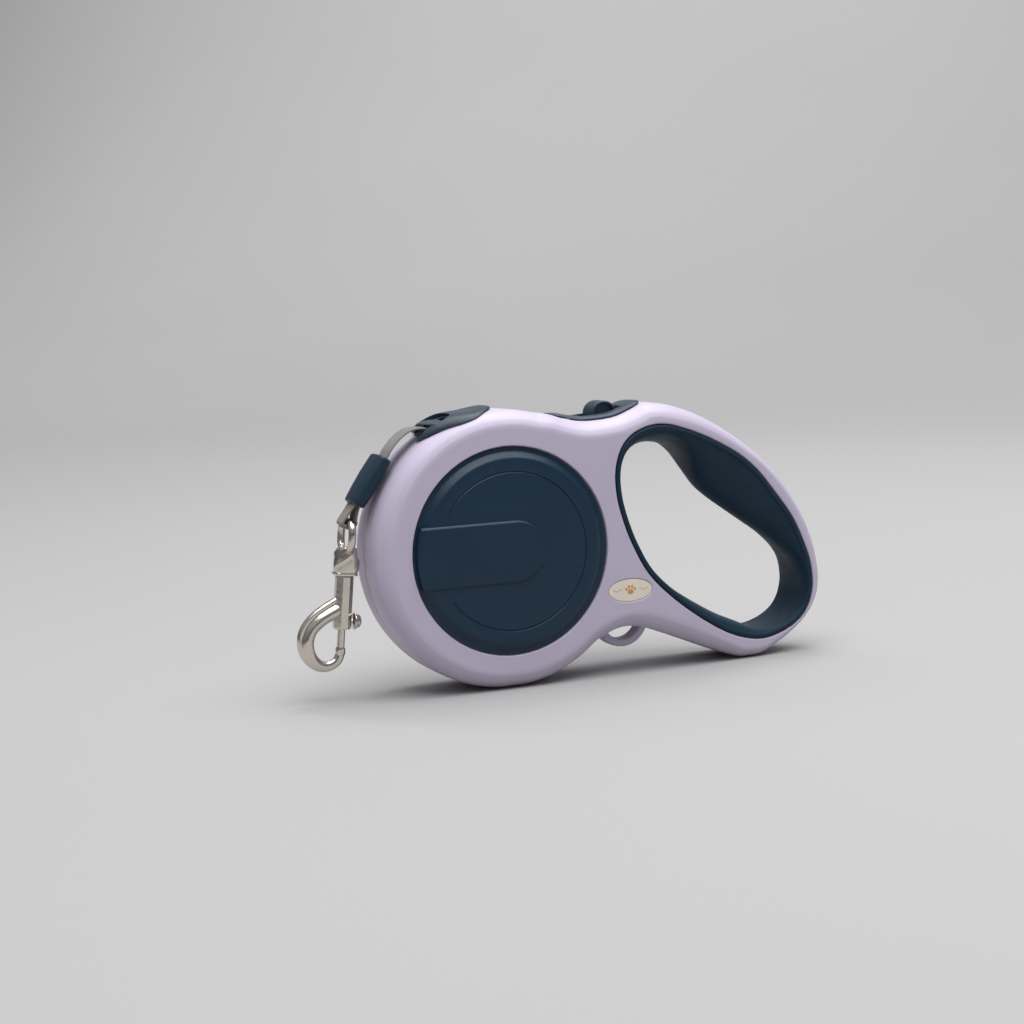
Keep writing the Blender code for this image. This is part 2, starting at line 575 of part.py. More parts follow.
def axle():
    body = disc("reel_axle", AXLE_RADIUS, -AXLE_HALF_LENGTH, AXLE_HALF_LENGTH, 20, WHITE_PLASTIC)
    bore = disc("reel_axle_pilot", 1.3, 2.0, 20, 12)
    combine(body, "DIFFERENCE", bore)
    screw("axle_screw", (0, 0), AXLE_HEAD_SEAT, 5.0, 3.0)
    for name, side in (("bush_front", -1), ("bush_rear", 1)):
        low = side * 9.6 if side < 0 else BUSH_REAR
        turned(name, [(AXLE_RADIUS + 0.3, low), (AXLE_RADIUS + 1.2, low), (AXLE_RADIUS + 1.2, low + 5.0),
                      (AXLE_RADIUS + 0.3, low + 5.0)][::-1], 20, WHITE_PLASTIC)
    return body


def screw(name, place, seat, tip, head_radius=HEAD_RADIUS, thread_radius=THREAD_RADIUS):
    """A pan-head screw along Y with a driver slot, its head over the seat at the rear."""
    under, rim, crown = seat + 0.1, seat + 0.8, seat + 1.4
    profile = ((0.4, tip), (thread_radius, tip + 0.8), (thread_radius, under), (head_radius, under),
               (head_radius, rim), (head_radius * 0.7, crown))
    made = solid(name, [at(circle(r, 8, place), y) for r, y in profile], STEEL, (place[0], 0, place[1]))
    slot = box(name + "_slot", (place[0] - 0.3, seat + 0.8, place[1] - 3), (place[0] + 0.3, seat + 3, place[1] + 3))
    combine(made, "DIFFERENCE", slot)
    return made


# ---------------------------------------------------------------- tape
def tape_strip(name, line, thickness, half_width, look=GREY_TAPE, origin=None):
    """A flat strip of tape along a line of (x, z) points."""
    rings = []
    for i, (x, z) in enumerate(line):
        (ax, az), (bx, bz) = line[max(i - 1, 0)], line[min(i + 1, len(line) - 1)]
        length = math.hypot(bx - ax, bz - az)
        nx, nz = -(bz - az) / length * thickness / 2, (bx - ax) / length * thickness / 2
        rings.append([(x - nx, -half_width, z - nz), (x + nx, -half_width, z + nz),
                      (x + nx, half_width, z + nz), (x - nx, half_width, z - nz)])
    return solid(name, rings, look, origin)


def tape():
    half = TAPE_WIDTH / 2
    profile = [(HUB_RADIUS + GAP, -half), (ROLL_RADIUS - 0.9, -half), (ROLL_RADIUS - 0.9, half), (HUB_RADIUS + GAP, half)]
    turned("tape_roll", profile[::-1], 36, GREY_TAPE)
    inner = [(7.4, 39.4), (-4.5, 41.6), (-15.0, 43.4), (-23.5, 44.75)]
    tape_strip("tape_inner", smooth(inner, 2, closed=False), TAPE, half)
    tape_strip("tape_lead", smooth(LEAD_LINE, 3, closed=False), TAPE, half)
    line = [sleeve_place(s, LAYER) for s in (-8.2, -3.0, 3.0, 8.2)]
    for a in (math.radians(angle) for angle in BEND_ANGLES):
        line.append((EYE_PIVOT[0] + TAPE_BEND * math.cos(a), EYE_PIVOT[1] + TAPE_BEND * math.sin(a)))
    line += [sleeve_place(s, -LAYER) for s in (8.2, 3.0, -3.0, -7.5)]
    tape_strip("tape_loop", smooth(line, 2, closed=False), TAPE, LOOP_HALF_TAPE,
               origin=(SLEEVE_MIDDLE[0], 0, SLEEVE_MIDDLE[1]))


def sleeve_place(s, t):
    """A place s along the sleeve from its middle and t towards the drum."""
    tilt = math.radians(SLEEVE_TILT)
    return (SLEEVE_MIDDLE[0] - s * math.cos(tilt) + t * math.sin(tilt),
            SLEEVE_MIDDLE[1] - s * math.sin(tilt) - t * math.cos(tilt))


def sleeve():
    rings = []
    top, bottom = SLEEVE_SPAN
    for s, shrink in ((top, 0.6), (top + 0.6, 0.0), (bottom - 0.6, 0.0), (bottom, 0.6)):
        half_w, half_t, corner = SLEEVE_WIDTH / 2 - shrink, SLEEVE_THICKNESS / 2 - shrink, 2.0
        ring = []
        for cy, ct, first in ((1, 1, 0), (-1, 1, 90), (-1, -1, 180), (1, -1, 270)):
            for step in (0, 45, 90):
                a = math.radians(first + step)
                y = cy * (half_w - corner) + corner * math.cos(a)
                t = ct * (half_t - corner) + corner * math.sin(a)
                x, z = sleeve_place(s, t)
                ring.append((x, y, z))
        rings.append(ring)
    made = solid("tape_sleeve", rings, SOFT_NAVY, (SLEEVE_MIDDLE[0], 0, SLEEVE_MIDDLE[1]))
    slot = []
    for s in (-12.0, 12.0):
        corners = ((5.4, -1.7), (5.4, 1.7), (-5.4, 1.7), (-5.4, -1.7))
        slot.append([(sleeve_place(s, t)[0], y, sleeve_place(s, t)[1]) for y, t in corners])
    combine(made, "DIFFERENCE", solid("tape_sleeve_slot", slot))
    return made


# ---------------------------------------------------------------- bolt snap
def hook_place(across, y, down):
    """From the bolt snap's own directions, before it leans, to millimetres from the drum's axis."""
    lean = math.radians(HOOK_LEAN)
    x = EYE_PIVOT[0] + across * math.cos(lean) - down * math.sin(lean)
    z = EYE_PIVOT[1] - across * math.sin(lean) - down * math.cos(lean)
    return x, y, z


def hook_rings(profile, count, phase=0.0, across=0.0):
    """Rings round the barrel's axis: profile of (radius, distance down)."""
    rings = []
    for r, down in profile:
        rings.append([hook_place(across + r * math.cos(a), r * math.sin(a), down)
                      for a in (2 * math.pi * i / count + phase for i in range(count))])
    return rings


def hook_tube(name, line, sides, look, squash=1.0, closed=False, origin=None):
    """A tube in the bolt snap's middle plane through (across, down, half thickness) points."""
    rings = []
    for i, (u, d, r) in enumerate(line):
        a, b = line[max(i - 1, 0)], line[min(i + 1, len(line) - 1)]
        length = math.hypot(b[0] - a[0], b[1] - a[1])
        nu, nd = -(b[1] - a[1]) / length, (b[0] - a[0]) / length
        rings.append([hook_place(u + nu * r * math.cos(t), squash * r * math.sin(t), d + nd * r * math.cos(t))
                      for t in (2 * math.pi * k / sides for k in range(sides))])
    return solid(name, rings, look, origin, closed)


def swivel_eye():
    half_width, half_height, wire = 6.65, 5.35, 1.35
    rings = []
    count, sides = 20, 8
    for i in range(count):
        a = 2 * math.pi * i / count
        ny, nd = math.sin(a), -math.cos(a)
        y = half_width * math.copysign(abs(ny) ** 0.75, ny)
        down = half_height * (1 + math.copysign(abs(nd) ** 0.75, nd))
        rings.append([hook_place(wire * math.sin(b), y + ny * wire * math.cos(b), down + nd * wire * math.cos(b))
                      for b in (2 * math.pi * k / sides for k in range(sides))])
    origin = (EYE_PIVOT[0], 0, EYE_PIVOT[1])
    made = solid("swivel_eye", rings, NICKEL, origin, closed=True)
    collar = solid("swivel_eye_collar", hook_rings(
        ((3.2, 9.6), (4.2, 10.6), (4.2, 12.8), (5.0, 13.4), (5.0, 18.2), (4.3, 19.3)), 12, math.pi / 12))
    combine(made, "UNION", collar)
    combine(made, "DIFFERENCE", solid("swivel_eye_bore", hook_rings(((1.6, 14.0), (1.6, 24.0)), 10)))
    return made


def swivel_pin():
    return solid("swivel_pin", hook_rings(((1.3, 14.6), (1.3, 20.5), (2.3, 20.6), (2.3, 21.5)), 10), STEEL,
                 hook_place(0, 0, BARREL[0]))


def hook_body():
    top, bottom = BARREL
    r = BARREL_RADIUS
    origin = hook_place(0, 0, top)
    made = solid("hook_body", hook_rings(((r - 0.4, top), (r, top + 0.5), (r, bottom - 0.4), (r - 0.3, bottom)), 8, math.pi / 8),
                 NICKEL, origin)
    line = smooth(HOOK_LINE, 2, closed=False)
    combine(made, "UNION", hook_tube("hook_body_hook", line, 8, None, squash=0.82))
    pocket = solid("hook_body_pin_pocket", hook_rings(((1.7, top - 2), (1.7, top + 0.3), (2.65, top + 0.35), (2.65, top + 1.9)), 10))
    bore = solid("hook_body_bore", hook_rings(((BORE_RADIUS, top + 3.4), (BORE_RADIUS, bottom + 2)), 10))
    slot = solid("hook_body_slot", [[hook_place(u, y, down) for u, y in ((0, -0.9), (6, -0.9), (6, 0.9), (0, 0.9))]
                                    for down in (27.4, 37.2)])
    combine(made, "DIFFERENCE", pocket, bore, slot)
    return made


def bolt():
    top, tip = 32.8, HOOK_LINE[-1][1] - GAP
    origin = hook_place(0, 0, 36.0)
    solid("bolt", hook_rings(((BOLT_RADIUS, top), (BOLT_RADIUS, tip)), 10), NICKEL, origin)
    rings = []
    for u, r in ((BOLT_RADIUS + GAP, 0.65), (4.1, 0.65), (4.2, 2.6), (4.9, 3.2), (6.3, 3.2), (7.1, 2.5)):
        rings.append([hook_place(u, r * math.cos(a), 36.0 + r * math.sin(a)) for a in (2 * math.pi * i / 12 for i in range(12))])
    solid("bolt_knob", rings, NICKEL, origin)
    start = Vector(hook_place(0, 0, top - GAP))
    end = Vector(hook_place(0, 0, 23.6))
    coil("bolt_spring", tuple(start), tuple(end - start), 1.2, 0.22, (end - start).length, 5)


# ---------------------------------------------------------------- the whole leash
def empty(name, place):
    made = bpy.data.objects.new(name, None)
    made.location = point(*place)
    bpy.context.scene.collection.objects.link(made)
    return made


def parent(child, holder):
    bpy.context.view_layer.update()
    child.parent = holder
    child.matrix_parent_inverse = holder.matrix_world.inverted()


def main():
    for old in list(bpy.data.objects):
        bpy.data.objects.remove(old, do_unlink=True)
    casing_half("casing_front", -1)
    casing_half("casing_rear", 1)
    side_cover("side_cover_front", -1)
    side_cover("side_cover_rear", 1)
    handle_grip()
    badge()
    nozzle()
    button_bezel()
    brake()
    for i, place in enumerate(SCREW_PLACES):
        share = thinning(place[0])
        screw(f"casing_screw_{i + 1}", place, HEAD_SEAT * share, -7.5 * share)
    reel()
    reel_rear_flange()
    spring_cup_lid()
    mainspring()
    axle()
    tape()
    sleeve()
    swivel_eye()
    swivel_pin()
    hook_body()
    bolt()
    objects = bpy.data.objects
    moving = {
        "reel_spindle": ((0, 0, 0), ("reel", "reel_rear_flange", "spring_cup_lid", "mainspring", "tape_roll",
                                      "bush_front", "bush_rear")),
        "leash_end": ((SLEEVE_MIDDLE[0], 0, SLEEVE_MIDDLE[1]), ("tape_sleeve", "tape_loop", "tape_lead")),
        "eye_pivot": ((EYE_PIVOT[0], 0, EYE_PIVOT[1]), ("swivel_eye", "swivel_pin")),
        "hook_swivel": (hook_place(0, 0, BARREL[0]), ("hook_body", "bolt_spring")),
        "bolt_carrier": (hook_place(0, 0, 36.0), ("bolt", "bolt_knob")),
        "brake_carrier": ((KNOB_X, 0, 45.0), ("brake_button", "lock_knob")),
    }
    holders = {}
    for name, (place, pieces) in moving.items():
        holders[name] = empty(name, place)
        for piece in pieces:
            parent(objects[piece], holders[name])
    parent(holders["eye_pivot"], holders["leash_end"])
    parent(holders["hook_swivel"], holders["eye_pivot"])
    parent(holders["bolt_carrier"], holders["hook_swivel"])


main()
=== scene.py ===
"""The look of a retractable dog leash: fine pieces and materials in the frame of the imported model.

Places are in millimetres from the drum's axis, x towards the handle and z up, with y = 0 in the plane where
the two casing halves meet. at() turns them into metres in the model's frame. Places on the bolt snap are in
its own directions before it leans: across, y, and down from the eye's pivot. on_hook() turns those.
"""
import json
from math import asin, atan2, copysign, cos, degrees, dist, exp, hypot, pi, radians, sin

import bmesh
import bpy
from mathutils import Matrix, Vector


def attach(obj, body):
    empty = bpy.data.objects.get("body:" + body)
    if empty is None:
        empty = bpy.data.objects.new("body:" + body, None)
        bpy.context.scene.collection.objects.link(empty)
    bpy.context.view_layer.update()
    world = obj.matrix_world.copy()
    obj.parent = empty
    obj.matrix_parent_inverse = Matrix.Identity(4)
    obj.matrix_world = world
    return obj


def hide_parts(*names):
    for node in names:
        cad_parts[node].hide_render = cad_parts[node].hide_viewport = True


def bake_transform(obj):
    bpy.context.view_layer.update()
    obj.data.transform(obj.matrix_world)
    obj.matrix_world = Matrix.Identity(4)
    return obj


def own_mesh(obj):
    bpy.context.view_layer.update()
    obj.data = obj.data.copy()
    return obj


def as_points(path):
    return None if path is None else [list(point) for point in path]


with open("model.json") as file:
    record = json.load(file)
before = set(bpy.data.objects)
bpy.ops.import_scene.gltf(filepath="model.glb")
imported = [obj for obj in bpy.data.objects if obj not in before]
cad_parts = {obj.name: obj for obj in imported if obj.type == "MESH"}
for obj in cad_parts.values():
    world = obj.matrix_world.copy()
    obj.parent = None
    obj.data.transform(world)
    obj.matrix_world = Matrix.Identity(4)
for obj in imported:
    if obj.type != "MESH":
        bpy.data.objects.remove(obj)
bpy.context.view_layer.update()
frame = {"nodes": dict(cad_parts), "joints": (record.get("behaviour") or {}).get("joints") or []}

MM = 0.001
SIDES = (("front", -1), ("rear", 1))
JOINTS = {joint["name"]: joint for joint in frame["joints"]}
DRUM = Vector(JOINTS["reel_spin"]["pos_m"])
PIVOT = Vector(JOINTS["hook_swing"]["pos_m"])
HOOK_UP = Vector(JOINTS["hook_swivel"]["axis"]).normalized()
HOOK_ACROSS = Vector((HOOK_UP.z, 0.0, -HOOK_UP.x))

DRUM_RADIUS, FOOT_Z, HALF_THICKNESS, SEAM = 51.2, -51.0, 16.0, 0.15
RIM = (  # (distance from the middle plane, inset from the outline), rounding over into the face
    (0.6, 0.0), (4.2, 0.02), (8.0, 0.12), (11.4, 0.85), (14.2, 2.75), (15.4, 4.45), (15.85, 5.6), (16.0, 7.0),
)
DRUM_ARC = (75.0, 310.0)
OPENING = (  # where the liner's lip meets the casing's face
    (125.8, -8.0), (120.8, 2.6), (113.2, 12.9), (105.5, 21.9), (97.5, 28.4), (88.5, 33.5), (79.8, 37.5),
    (71.5, 40.5), (64.5, 42.3), (57.5, 42.2), (50.1, 39.4), (45.2, 34.2), (42.7, 26.3), (42.8, 17.5),
    (44.8, 8.5), (48.6, -1.8), (54.6, -12.8), (63.0, -21.8), (73.9, -30.4), (86.0, -38.0), (96.5, -42.4),
    (107.0, -43.9), (118.0, -41.0), (125.6, -35.2), (129.1, -26.5), (128.6, -16.8),
)
CROWN = (  # the liner's swell in the middle plane, point for point with OPENING
    (120.2, -11.8), (112.0, -4.5), (104.5, 0.8), (96.8, 6.2), (89.8, 11.2), (84.0, 16.2), (80.2, 22.0),
    (77.2, 28.0), (71.4, 33.2), (63.3, 35.2), (55.6, 34.6), (49.6, 31.4), (46.2, 25.2), (46.2, 17.3),
    (48.1, 9.2), (51.6, -0.2), (57.3, -10.6), (65.2, -18.6), (75.8, -25.6), (87.5, -32.4), (97.3, -36.9),
    (105.8, -40.4), (115.3, -39.9), (122.2, -35.0), (125.9, -27.0), (124.7, -18.4),
)
HANDLE_FROM_DRUM = (
    (36.6, -36.9), (45.0, -33.9), (54.5, -34.6), (68.4, -39.7), (80.0, -44.5), (88.0, -47.8), (95.0, -50.4),
    (100.5, -51.3), (106.0, -50.6), (111.5, -48.6), (117.8, -45.2), (124.2, -40.8), (129.2, -35.6),
    (132.4, -29.6), (133.6, -23.5), (133.2, -17.0), (131.4, -8.4), (128.3, 0.0), (123.8, 8.4), (118.0, 16.9),
    (111.5, 24.2), (104.2, 30.6), (93.8, 37.9), (82.1, 44.4), (71.6, 48.4), (64.0, 50.1), (58.0, 50.3),
    (52.0, 48.2), (44.6, 46.0), (33.5, 45.1), (26.0, 46.4), (19.0, 48.6),
)
LOOP_CENTRE, LOOP_RADII, LOOP_HALF_WIDTH = (49.5, -31.6), (7.9, 10.8), 3.3
REEL_ROOM, REEL_WALL, WALL = 42.6, 44.4, 2.4  # radii of the reel's room and its wall; the shell's thickness
COVER_SEAT, SEAT_FLOOR = 38.3, 14.4  # the round recess for a cover
COVER_TOP, TAB_TOP, TAB_HALF = 17.2, 18.0, 11.3
SCREW_HOLE, SCREW_BOSS = 1.05, 2.2
GROOVE_GAP = (147.0, 213.0)  # degrees, where the cover's groove stops for the tab
SCREWS = tuple((46.6 * cos(radians(a)), 46.6 * sin(radians(a))) for a in (75, 172, 245)) + (
    (98.0, 31.4), (104.5, -47.4), (70.8, -34.8))
BADGE_CENTRE, BADGE_SIZE = (47.0, -18.8), (9.0, 4.3)
TAPE_LEAD = ((3.0, 40.2), (-4.5, 41.6), (-15.0, 43.4), (-21.0, 44.5), (-25.2, 45.3), (-28.5, 45.9), (-33.0, 45.3),
             (-37.2, 42.6), (-40.3, 39.2), (-41.85, 36.8), (-43.3, 34.4))
SLEEVE_MIDDLE, SLEEVE_TILT, LAYER = (-48.8, 27.7), radians(55.3), 0.62
EYE_BAR, BEND_RADIUS = (-56.8, 14.2), 2.4  # the tape folds round the eye's bar
TAPE_HALF_WIDTHS = (4.95, 4.5, 3.8)  # free, at the sleeve's mouth, round the bar
CAP_STATIONS = (  # (degrees on the drum, half width, height of the crown)
    (90.8, 0.7, 0.10), (91.5, 3.4, 0.75), (93.2, 6.4, 1.15), (96.0, 9.3, 0.95), (99.0, 11.5, 0.75),
    (102.5, 12.8, 0.85), (106.0, 13.1, 1.35), (110.0, 12.9, 2.00), (114.0, 12.1, 2.45), (118.0, 11.1, 2.55),
    (122.0, 9.6, 1.95), (125.0, 7.7, 1.05), (127.2, 5.8, 0.50), (128.4, 4.2, 0.12),
)
THROAT = ((-3.9, 0.0), (-3.6, 2.4), (-2.6, 4.2), (-0.5, 5.3), (2.0, 5.7), (5.0, 5.7))  # (along, across)
WELL = ((-4.7, 0.0), (-4.6, 2.5), (-4.0, 5.5), (-2.6, 7.8), (-0.5, 9.0), (2.0, 9.3), (5.0, 8.3), (8.0, 6.6),
        (14.5, 5.6))
HOOK_LINE = (  # (across, down, half thickness) of the bow, from the barrel round to the tip
    (-0.4, 29.6, 3.4), (-2.6, 31.3, 3.6), (-5.5, 33.0, 3.45), (-9.0, 35.5, 3.3), (-12.1, 39.2, 3.2),
    (-13.2, 43.6, 3.15), (-11.9, 48.4, 2.8), (-8.5, 51.8, 2.25), (-4.7, 52.5, 1.9), (-1.5, 50.9, 1.75),
    (-0.2, 48.5, 1.7), (0.0, 45.9, 1.6),
)
MOUTH_ANGLE = radians(114.0)
MOUTH_ALONG = Vector((-sin(MOUTH_ANGLE), 0, cos(MOUTH_ANGLE)))
MOUTH_UP = Vector((cos(MOUTH_ANGLE), 0, sin(MOUTH_ANGLE)))


# -------- small sums
def clamp(value):
    return max(0.0, min(value, 1.0))


def turn(count):
    """That many angles, evenly round a full turn."""
    return [2 * pi * i / count for i in range(count)]


def quarter(steps):
    """Angles from 0 to a right angle, both included."""
    return [pi / 2 * i / steps for i in range(steps + 1)]


def polar(radius, angle, centre=(0.0, 0.0)):
    return centre[0] + radius * cos(angle), centre[1] + radius * sin(angle)


def bulge(value, power):
    """The value's size to a power, with its sign: under 1 it squares a round section."""
    return copysign(abs(value) ** power, value)


# -------- places
def at(x, y, z):
    return DRUM + Vector((x, y, z)) * MM


def on_hook(across, y, down):
    return PIVOT + (HOOK_ACROSS * across - HOOK_UP * down + Vector((0, y, 0))) * MM


def on_sleeve(s, t):
    """s along the sleeve away from the nozzle, t towards the drum; gives (x, z)."""
    c, d = cos(SLEEVE_TILT), sin(SLEEVE_TILT)
    return SLEEVE_MIDDLE[0] - s * c + t * d, SLEEVE_MIDDLE[1] - s * d - t * c


# -------- camera, made first, before the tape
def add(obj):
    bpy.context.scene.collection.objects.link(obj)
    return obj


def camera():
    data = bpy.data.cameras.new("camera")
    data.lens, data.sensor_width = 63.28, 36.0
    data.clip_start, data.clip_end = 0.05, 30.0
    forward = Vector((0.3788, 0.9194, -0.1055)).normalized()
    right = Vector((0.9221, -0.3847, -0.0416))
    right = (right - forward * right.dot(forward)).normalized()
    up = right.cross(forward)
    placed = Matrix((right, up, -forward)).transposed().to_4x4()
    placed.translation = Vector((-0.2872, -0.6147, 0.1340))
    cam = add(bpy.data.objects.new("camera", data))
    cam.matrix_world = placed
    bpy.context.scene.camera = cam


# -------- lines and meshes
def spline(points, steps, closed=False):
    """Catmull-Rom curve through points of any dimension."""
    count = len(points)
    out = []
    for i in range(count if closed else count - 1):
        if closed:
            four = [points[(i + k) % count] for k in (-1, 0, 1, 2)]
        else:
            four = [points[min(max(i + k, 0), count - 1)] for k in (-1, 0, 1, 2)]
        for s in range(steps):
            t = s / steps
            out.append(tuple(
                0.5 * (2 * q + (r - p) * t + (2 * p - 5 * q + 4 * r - u) * t * t
                       + (3 * q - p - 3 * r + u) * t ** 3)
                for p, q, r, u in zip(*four)))
    if not closed:
        out.append(tuple(points[-1]))
    return out


RIM_CURVE = spline(RIM, 4)


def circle(radius, count, centre=(0.0, 0.0)):
    return [polar(radius, a, centre) for a in turn(count)]


def oval(centre, half_x, half_z, count):
    return [(centre[0] + half_x * x, centre[1] + half_z * z) for x, z in circle(1.0, count)]


def normals(outline):
    out = []
    for i in range(len(outline)):
        (ax, az), (bx, bz) = outline[i - 1], outline[(i + 1) % len(outline)]
        length = hypot(bx - ax, bz - az) or 1.0
        out.append(((bz - az) / length, (ax - bx) / length))
    return out


def grown(outline, distance):
    return [(x + nx * distance, z + nz * distance) for (x, z), (nx, nz) in zip(outline, normals(outline))]


def slimness(x):
    """0 at the drum and its neck, 1 at the far end of the handle, which is thinner than the drum."""
    t = clamp((x - 60.0) / 60.0)
    return t * t * (3 - 2 * t)


def slimmed(obj):
    """Presses the handle's end towards the middle plane."""
    for vertex in obj.data.vertices:
        vertex.co.y *= 1 - 0.30 * slimness((vertex.co.x - DRUM.x) / MM)
    return obj


def stepped_in(outline, distance):
    """The outline moved inwards, by half as much where the handle is thin."""
    return [(x - nx * distance * (1 - 0.50 * slimness(x)), z - nz * distance * (1 - 0.50 * slimness(x)))
            for (x, z), (nx, nz) in zip(outline, normals(outline))]


def flat_ring(outline, y, grow=0.0):
    return [at(x, y, z) for x, z in (grown(outline, grow) if grow else outline)]


def loft(name, rings, closed=False, uv=None):
    """Quads between rings of world points; uv gives (along, round) in metres for each ring point."""
    width, count = len(rings[0]), len(rings)
    faces = []
    for i in range(count if closed else count - 1):
        j = (i + 1) % count
        for k in range(width):
            m = (k + 1) % width
            faces.append((i * width + k, i * width + m, j * width + m, j * width + k))
    if not closed:
        faces.append(tuple(range(width))[::-1])
        faces.append(tuple(range((count - 1) * width, count * width)))
    mesh = bpy.data.meshes.new(name)
    mesh.from_pydata([tuple(p) for ring in rings for p in ring], [], faces)
    if uv:
        layer = mesh.uv_layers.new(name="along")
        for loop in mesh.loops:
            layer.data[loop.index].uv = uv(loop.vertex_index // width, loop.vertex_index % width)
    bm = bmesh.new()
    bm.from_mesh(mesh)
    bmesh.ops.recalc_face_normals(bm, faces=bm.faces)
    bm.to_mesh(mesh)
    bm.free()
    return add(bpy.data.objects.new(name, mesh))


def prism(name, outline, y0, y1):
    return loft(name, [flat_ring(outline, y0), flat_ring(outline, y1)])


def edge_cutter(name, outline, side, floor, surface, radius):
    """A cutter that goes in from side * surface to side * floor and rounds the edge that it leaves."""
    rings = [flat_ring(outline, side * floor)]
    rings += [flat_ring(outline, side * (surface - (radius - radius * sin(a))), radius - radius * cos(a))
              for a in quarter(5)]
    rings.append(flat_ring(outline, side * (surface + 3.0), radius + 0.4))
    return loft(name, rings)


def carve(target, operation, *others):
    for other in others:
        step = target.modifiers.new(operation.lower(), "BOOLEAN")
        step.operation, step.object, step.solver = operation, other, "MANIFOLD"
    settle(target)
    for other in others:
        bpy.data.objects.remove(other, do_unlink=True)
    return target


def settle(target):
    graph = bpy.context.evaluated_depsgraph_get()
    mesh = bpy.data.meshes.new_from_object(target.evaluated_get(graph))
    target.modifiers.clear()
    target.data = mesh


def finish_piece(obj, body, slot, look, *nodes, sharp=34, weighted=True):
    """Shades it, gives it its material, lets it stand for CAD nodes and ride on a body. The slot argument is not
    used.
    """
    obj.data.shade_smooth()
    obj.data.set_sharp_from_angle(angle=radians(sharp))
    if weighted:
        step = obj.modifiers.new("normals", "WEIGHTED_NORMAL")
        step.keep_sharp, step.weight = True, 60
    obj.data.materials.clear()
    obj.data.materials.append(look)
    if nodes:
        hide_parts(*nodes)
    if body:
        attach(obj, body)
    return obj


# -------- materials
class Nodes:
    """Adds nodes to a tree. A value is an output of another node, a number or a colour."""

    def __init__(self, tree):
        self.tree = tree

    def node(self, kind, **settings):
        made = self.tree.nodes.new(kind)
        for key, value in settings.items():
            setattr(made, key, value)
        return made

    def feed(self, socket, value):
        if isinstance(value, bpy.types.NodeSocket):
            self.tree.links.new(value, socket)
        elif value is not None:
            socket.default_value = (*value, 1.0) if isinstance(value, tuple) else value

    def remap(self, value, low=0.0, high=1.0, from_low=0.3, from_high=0.7, **settings):
        made = self.node("ShaderNodeMapRange", **settings)
        for key, number in (("From Min", from_low), ("From Max", from_high), ("To Min", low), ("To Max", high)):
            made.inputs[key].default_value = number
        self.feed(made.inputs["Value"], value)
        return made.outputs["Result"]

    def split(self, vector):
        made = self.node("ShaderNodeSeparateXYZ")
        self.feed(made.inputs["Vector"], vector)
        return made.outputs


class Look(Nodes):
    """One Principled material."""

    def __init__(self, name, colour, roughness, metallic=0.0, **inputs):
        self.material = bpy.data.materials.new(name)
        self.material.use_nodes = True
        super().__init__(self.material.node_tree)
        self.shader = self.tree.nodes["Principled BSDF"]
        values = {"Base Color": colour, "Roughness": roughness, "Metallic": metallic, **inputs}
        for key, value in values.items():
            self.feed(self.shader.inputs[key.replace("_", " ")], value)
        self.place = self.node("ShaderNodeTexCoord").outputs["Object"]

    def noise(self, scale, detail=3.0, rough=0.55):
        made = self.node("ShaderNodeTexNoise")
        for key, value in (("Scale", scale), ("Detail", detail), ("Roughness", rough), ("Vector", self.place)):
            self.feed(made.inputs[key], value)
        return made.outputs["Fac"]

    def math(self, operation, *values):
        made = self.node("ShaderNodeMath", operation=operation)
        for socket, value in zip(made.inputs, values):
            self.feed(socket, value)
        return made.outputs["Value"]

    def wave(self, value, pitch, shift):
        return self.math("SINE", self.math("MULTIPLY_ADD", value, 2 * pi / pitch, shift))

    def mix(self, factor, first, second):
        made = self.node("ShaderNodeMix", data_type="RGBA")
        for socket, value in (("Factor", factor), (6, first), (7, second)):  # 6 and 7 are the two colours
            self.feed(made.inputs[socket], value)
        return made.outputs[2]

    def pointiness(self):
        return self.node("ShaderNodeNewGeometry").outputs["Pointiness"]

    def base(self, colour):
        self.feed(self.shader.inputs["Base Color"], colour)

    def rough(self, value):
        self.feed(self.shader.inputs["Roughness"], value)

    def bump(self, height, distance, strength=1.0):
        made = self.node("ShaderNodeBump")
        for key, value in (("Strength", strength), ("Distance", distance), ("Height", height)):
            self.feed(made.inputs[key], value)
        self.feed(self.shader.inputs["Normal"], made.outputs["Normal"])


def tint(colour, factor):
    return tuple(min(c * factor, 1.0) for c in colour)


def moulded(name, colour, roughness, grain=0.00002, spread=0.05, wear=1.10, **inputs):
    """Moulded plastic: spark-eroded grain, faint clouding, rubbed edges a shade lighter and smoother."""
    look = Look(name, colour, roughness, **inputs)
    clouds = look.remap(look.noise(38.0, 4.0))
    worn = look.remap(look.pointiness(), 0.0, 1.0, 0.515, 0.60)
    scuff = look.math("MULTIPLY", worn, look.remap(look.noise(420.0, 5.0, 0.7), 0.0, 1.0, 0.40, 0.62))
    body = look.mix(clouds, tint(colour, 1 - spread), tint(colour, 1 + spread))
    look.base(look.mix(scuff, body, tint(colour, wear)))
    patchy = look.remap(look.noise(160.0, 5.0, 0.6), roughness - 0.05, roughness + 0.06)
    look.rough(look.math("MULTIPLY_ADD", scuff, -0.06, patchy))
    look.bump(look.noise(5200.0, 2.0, 0.5), grain)
    return look.material


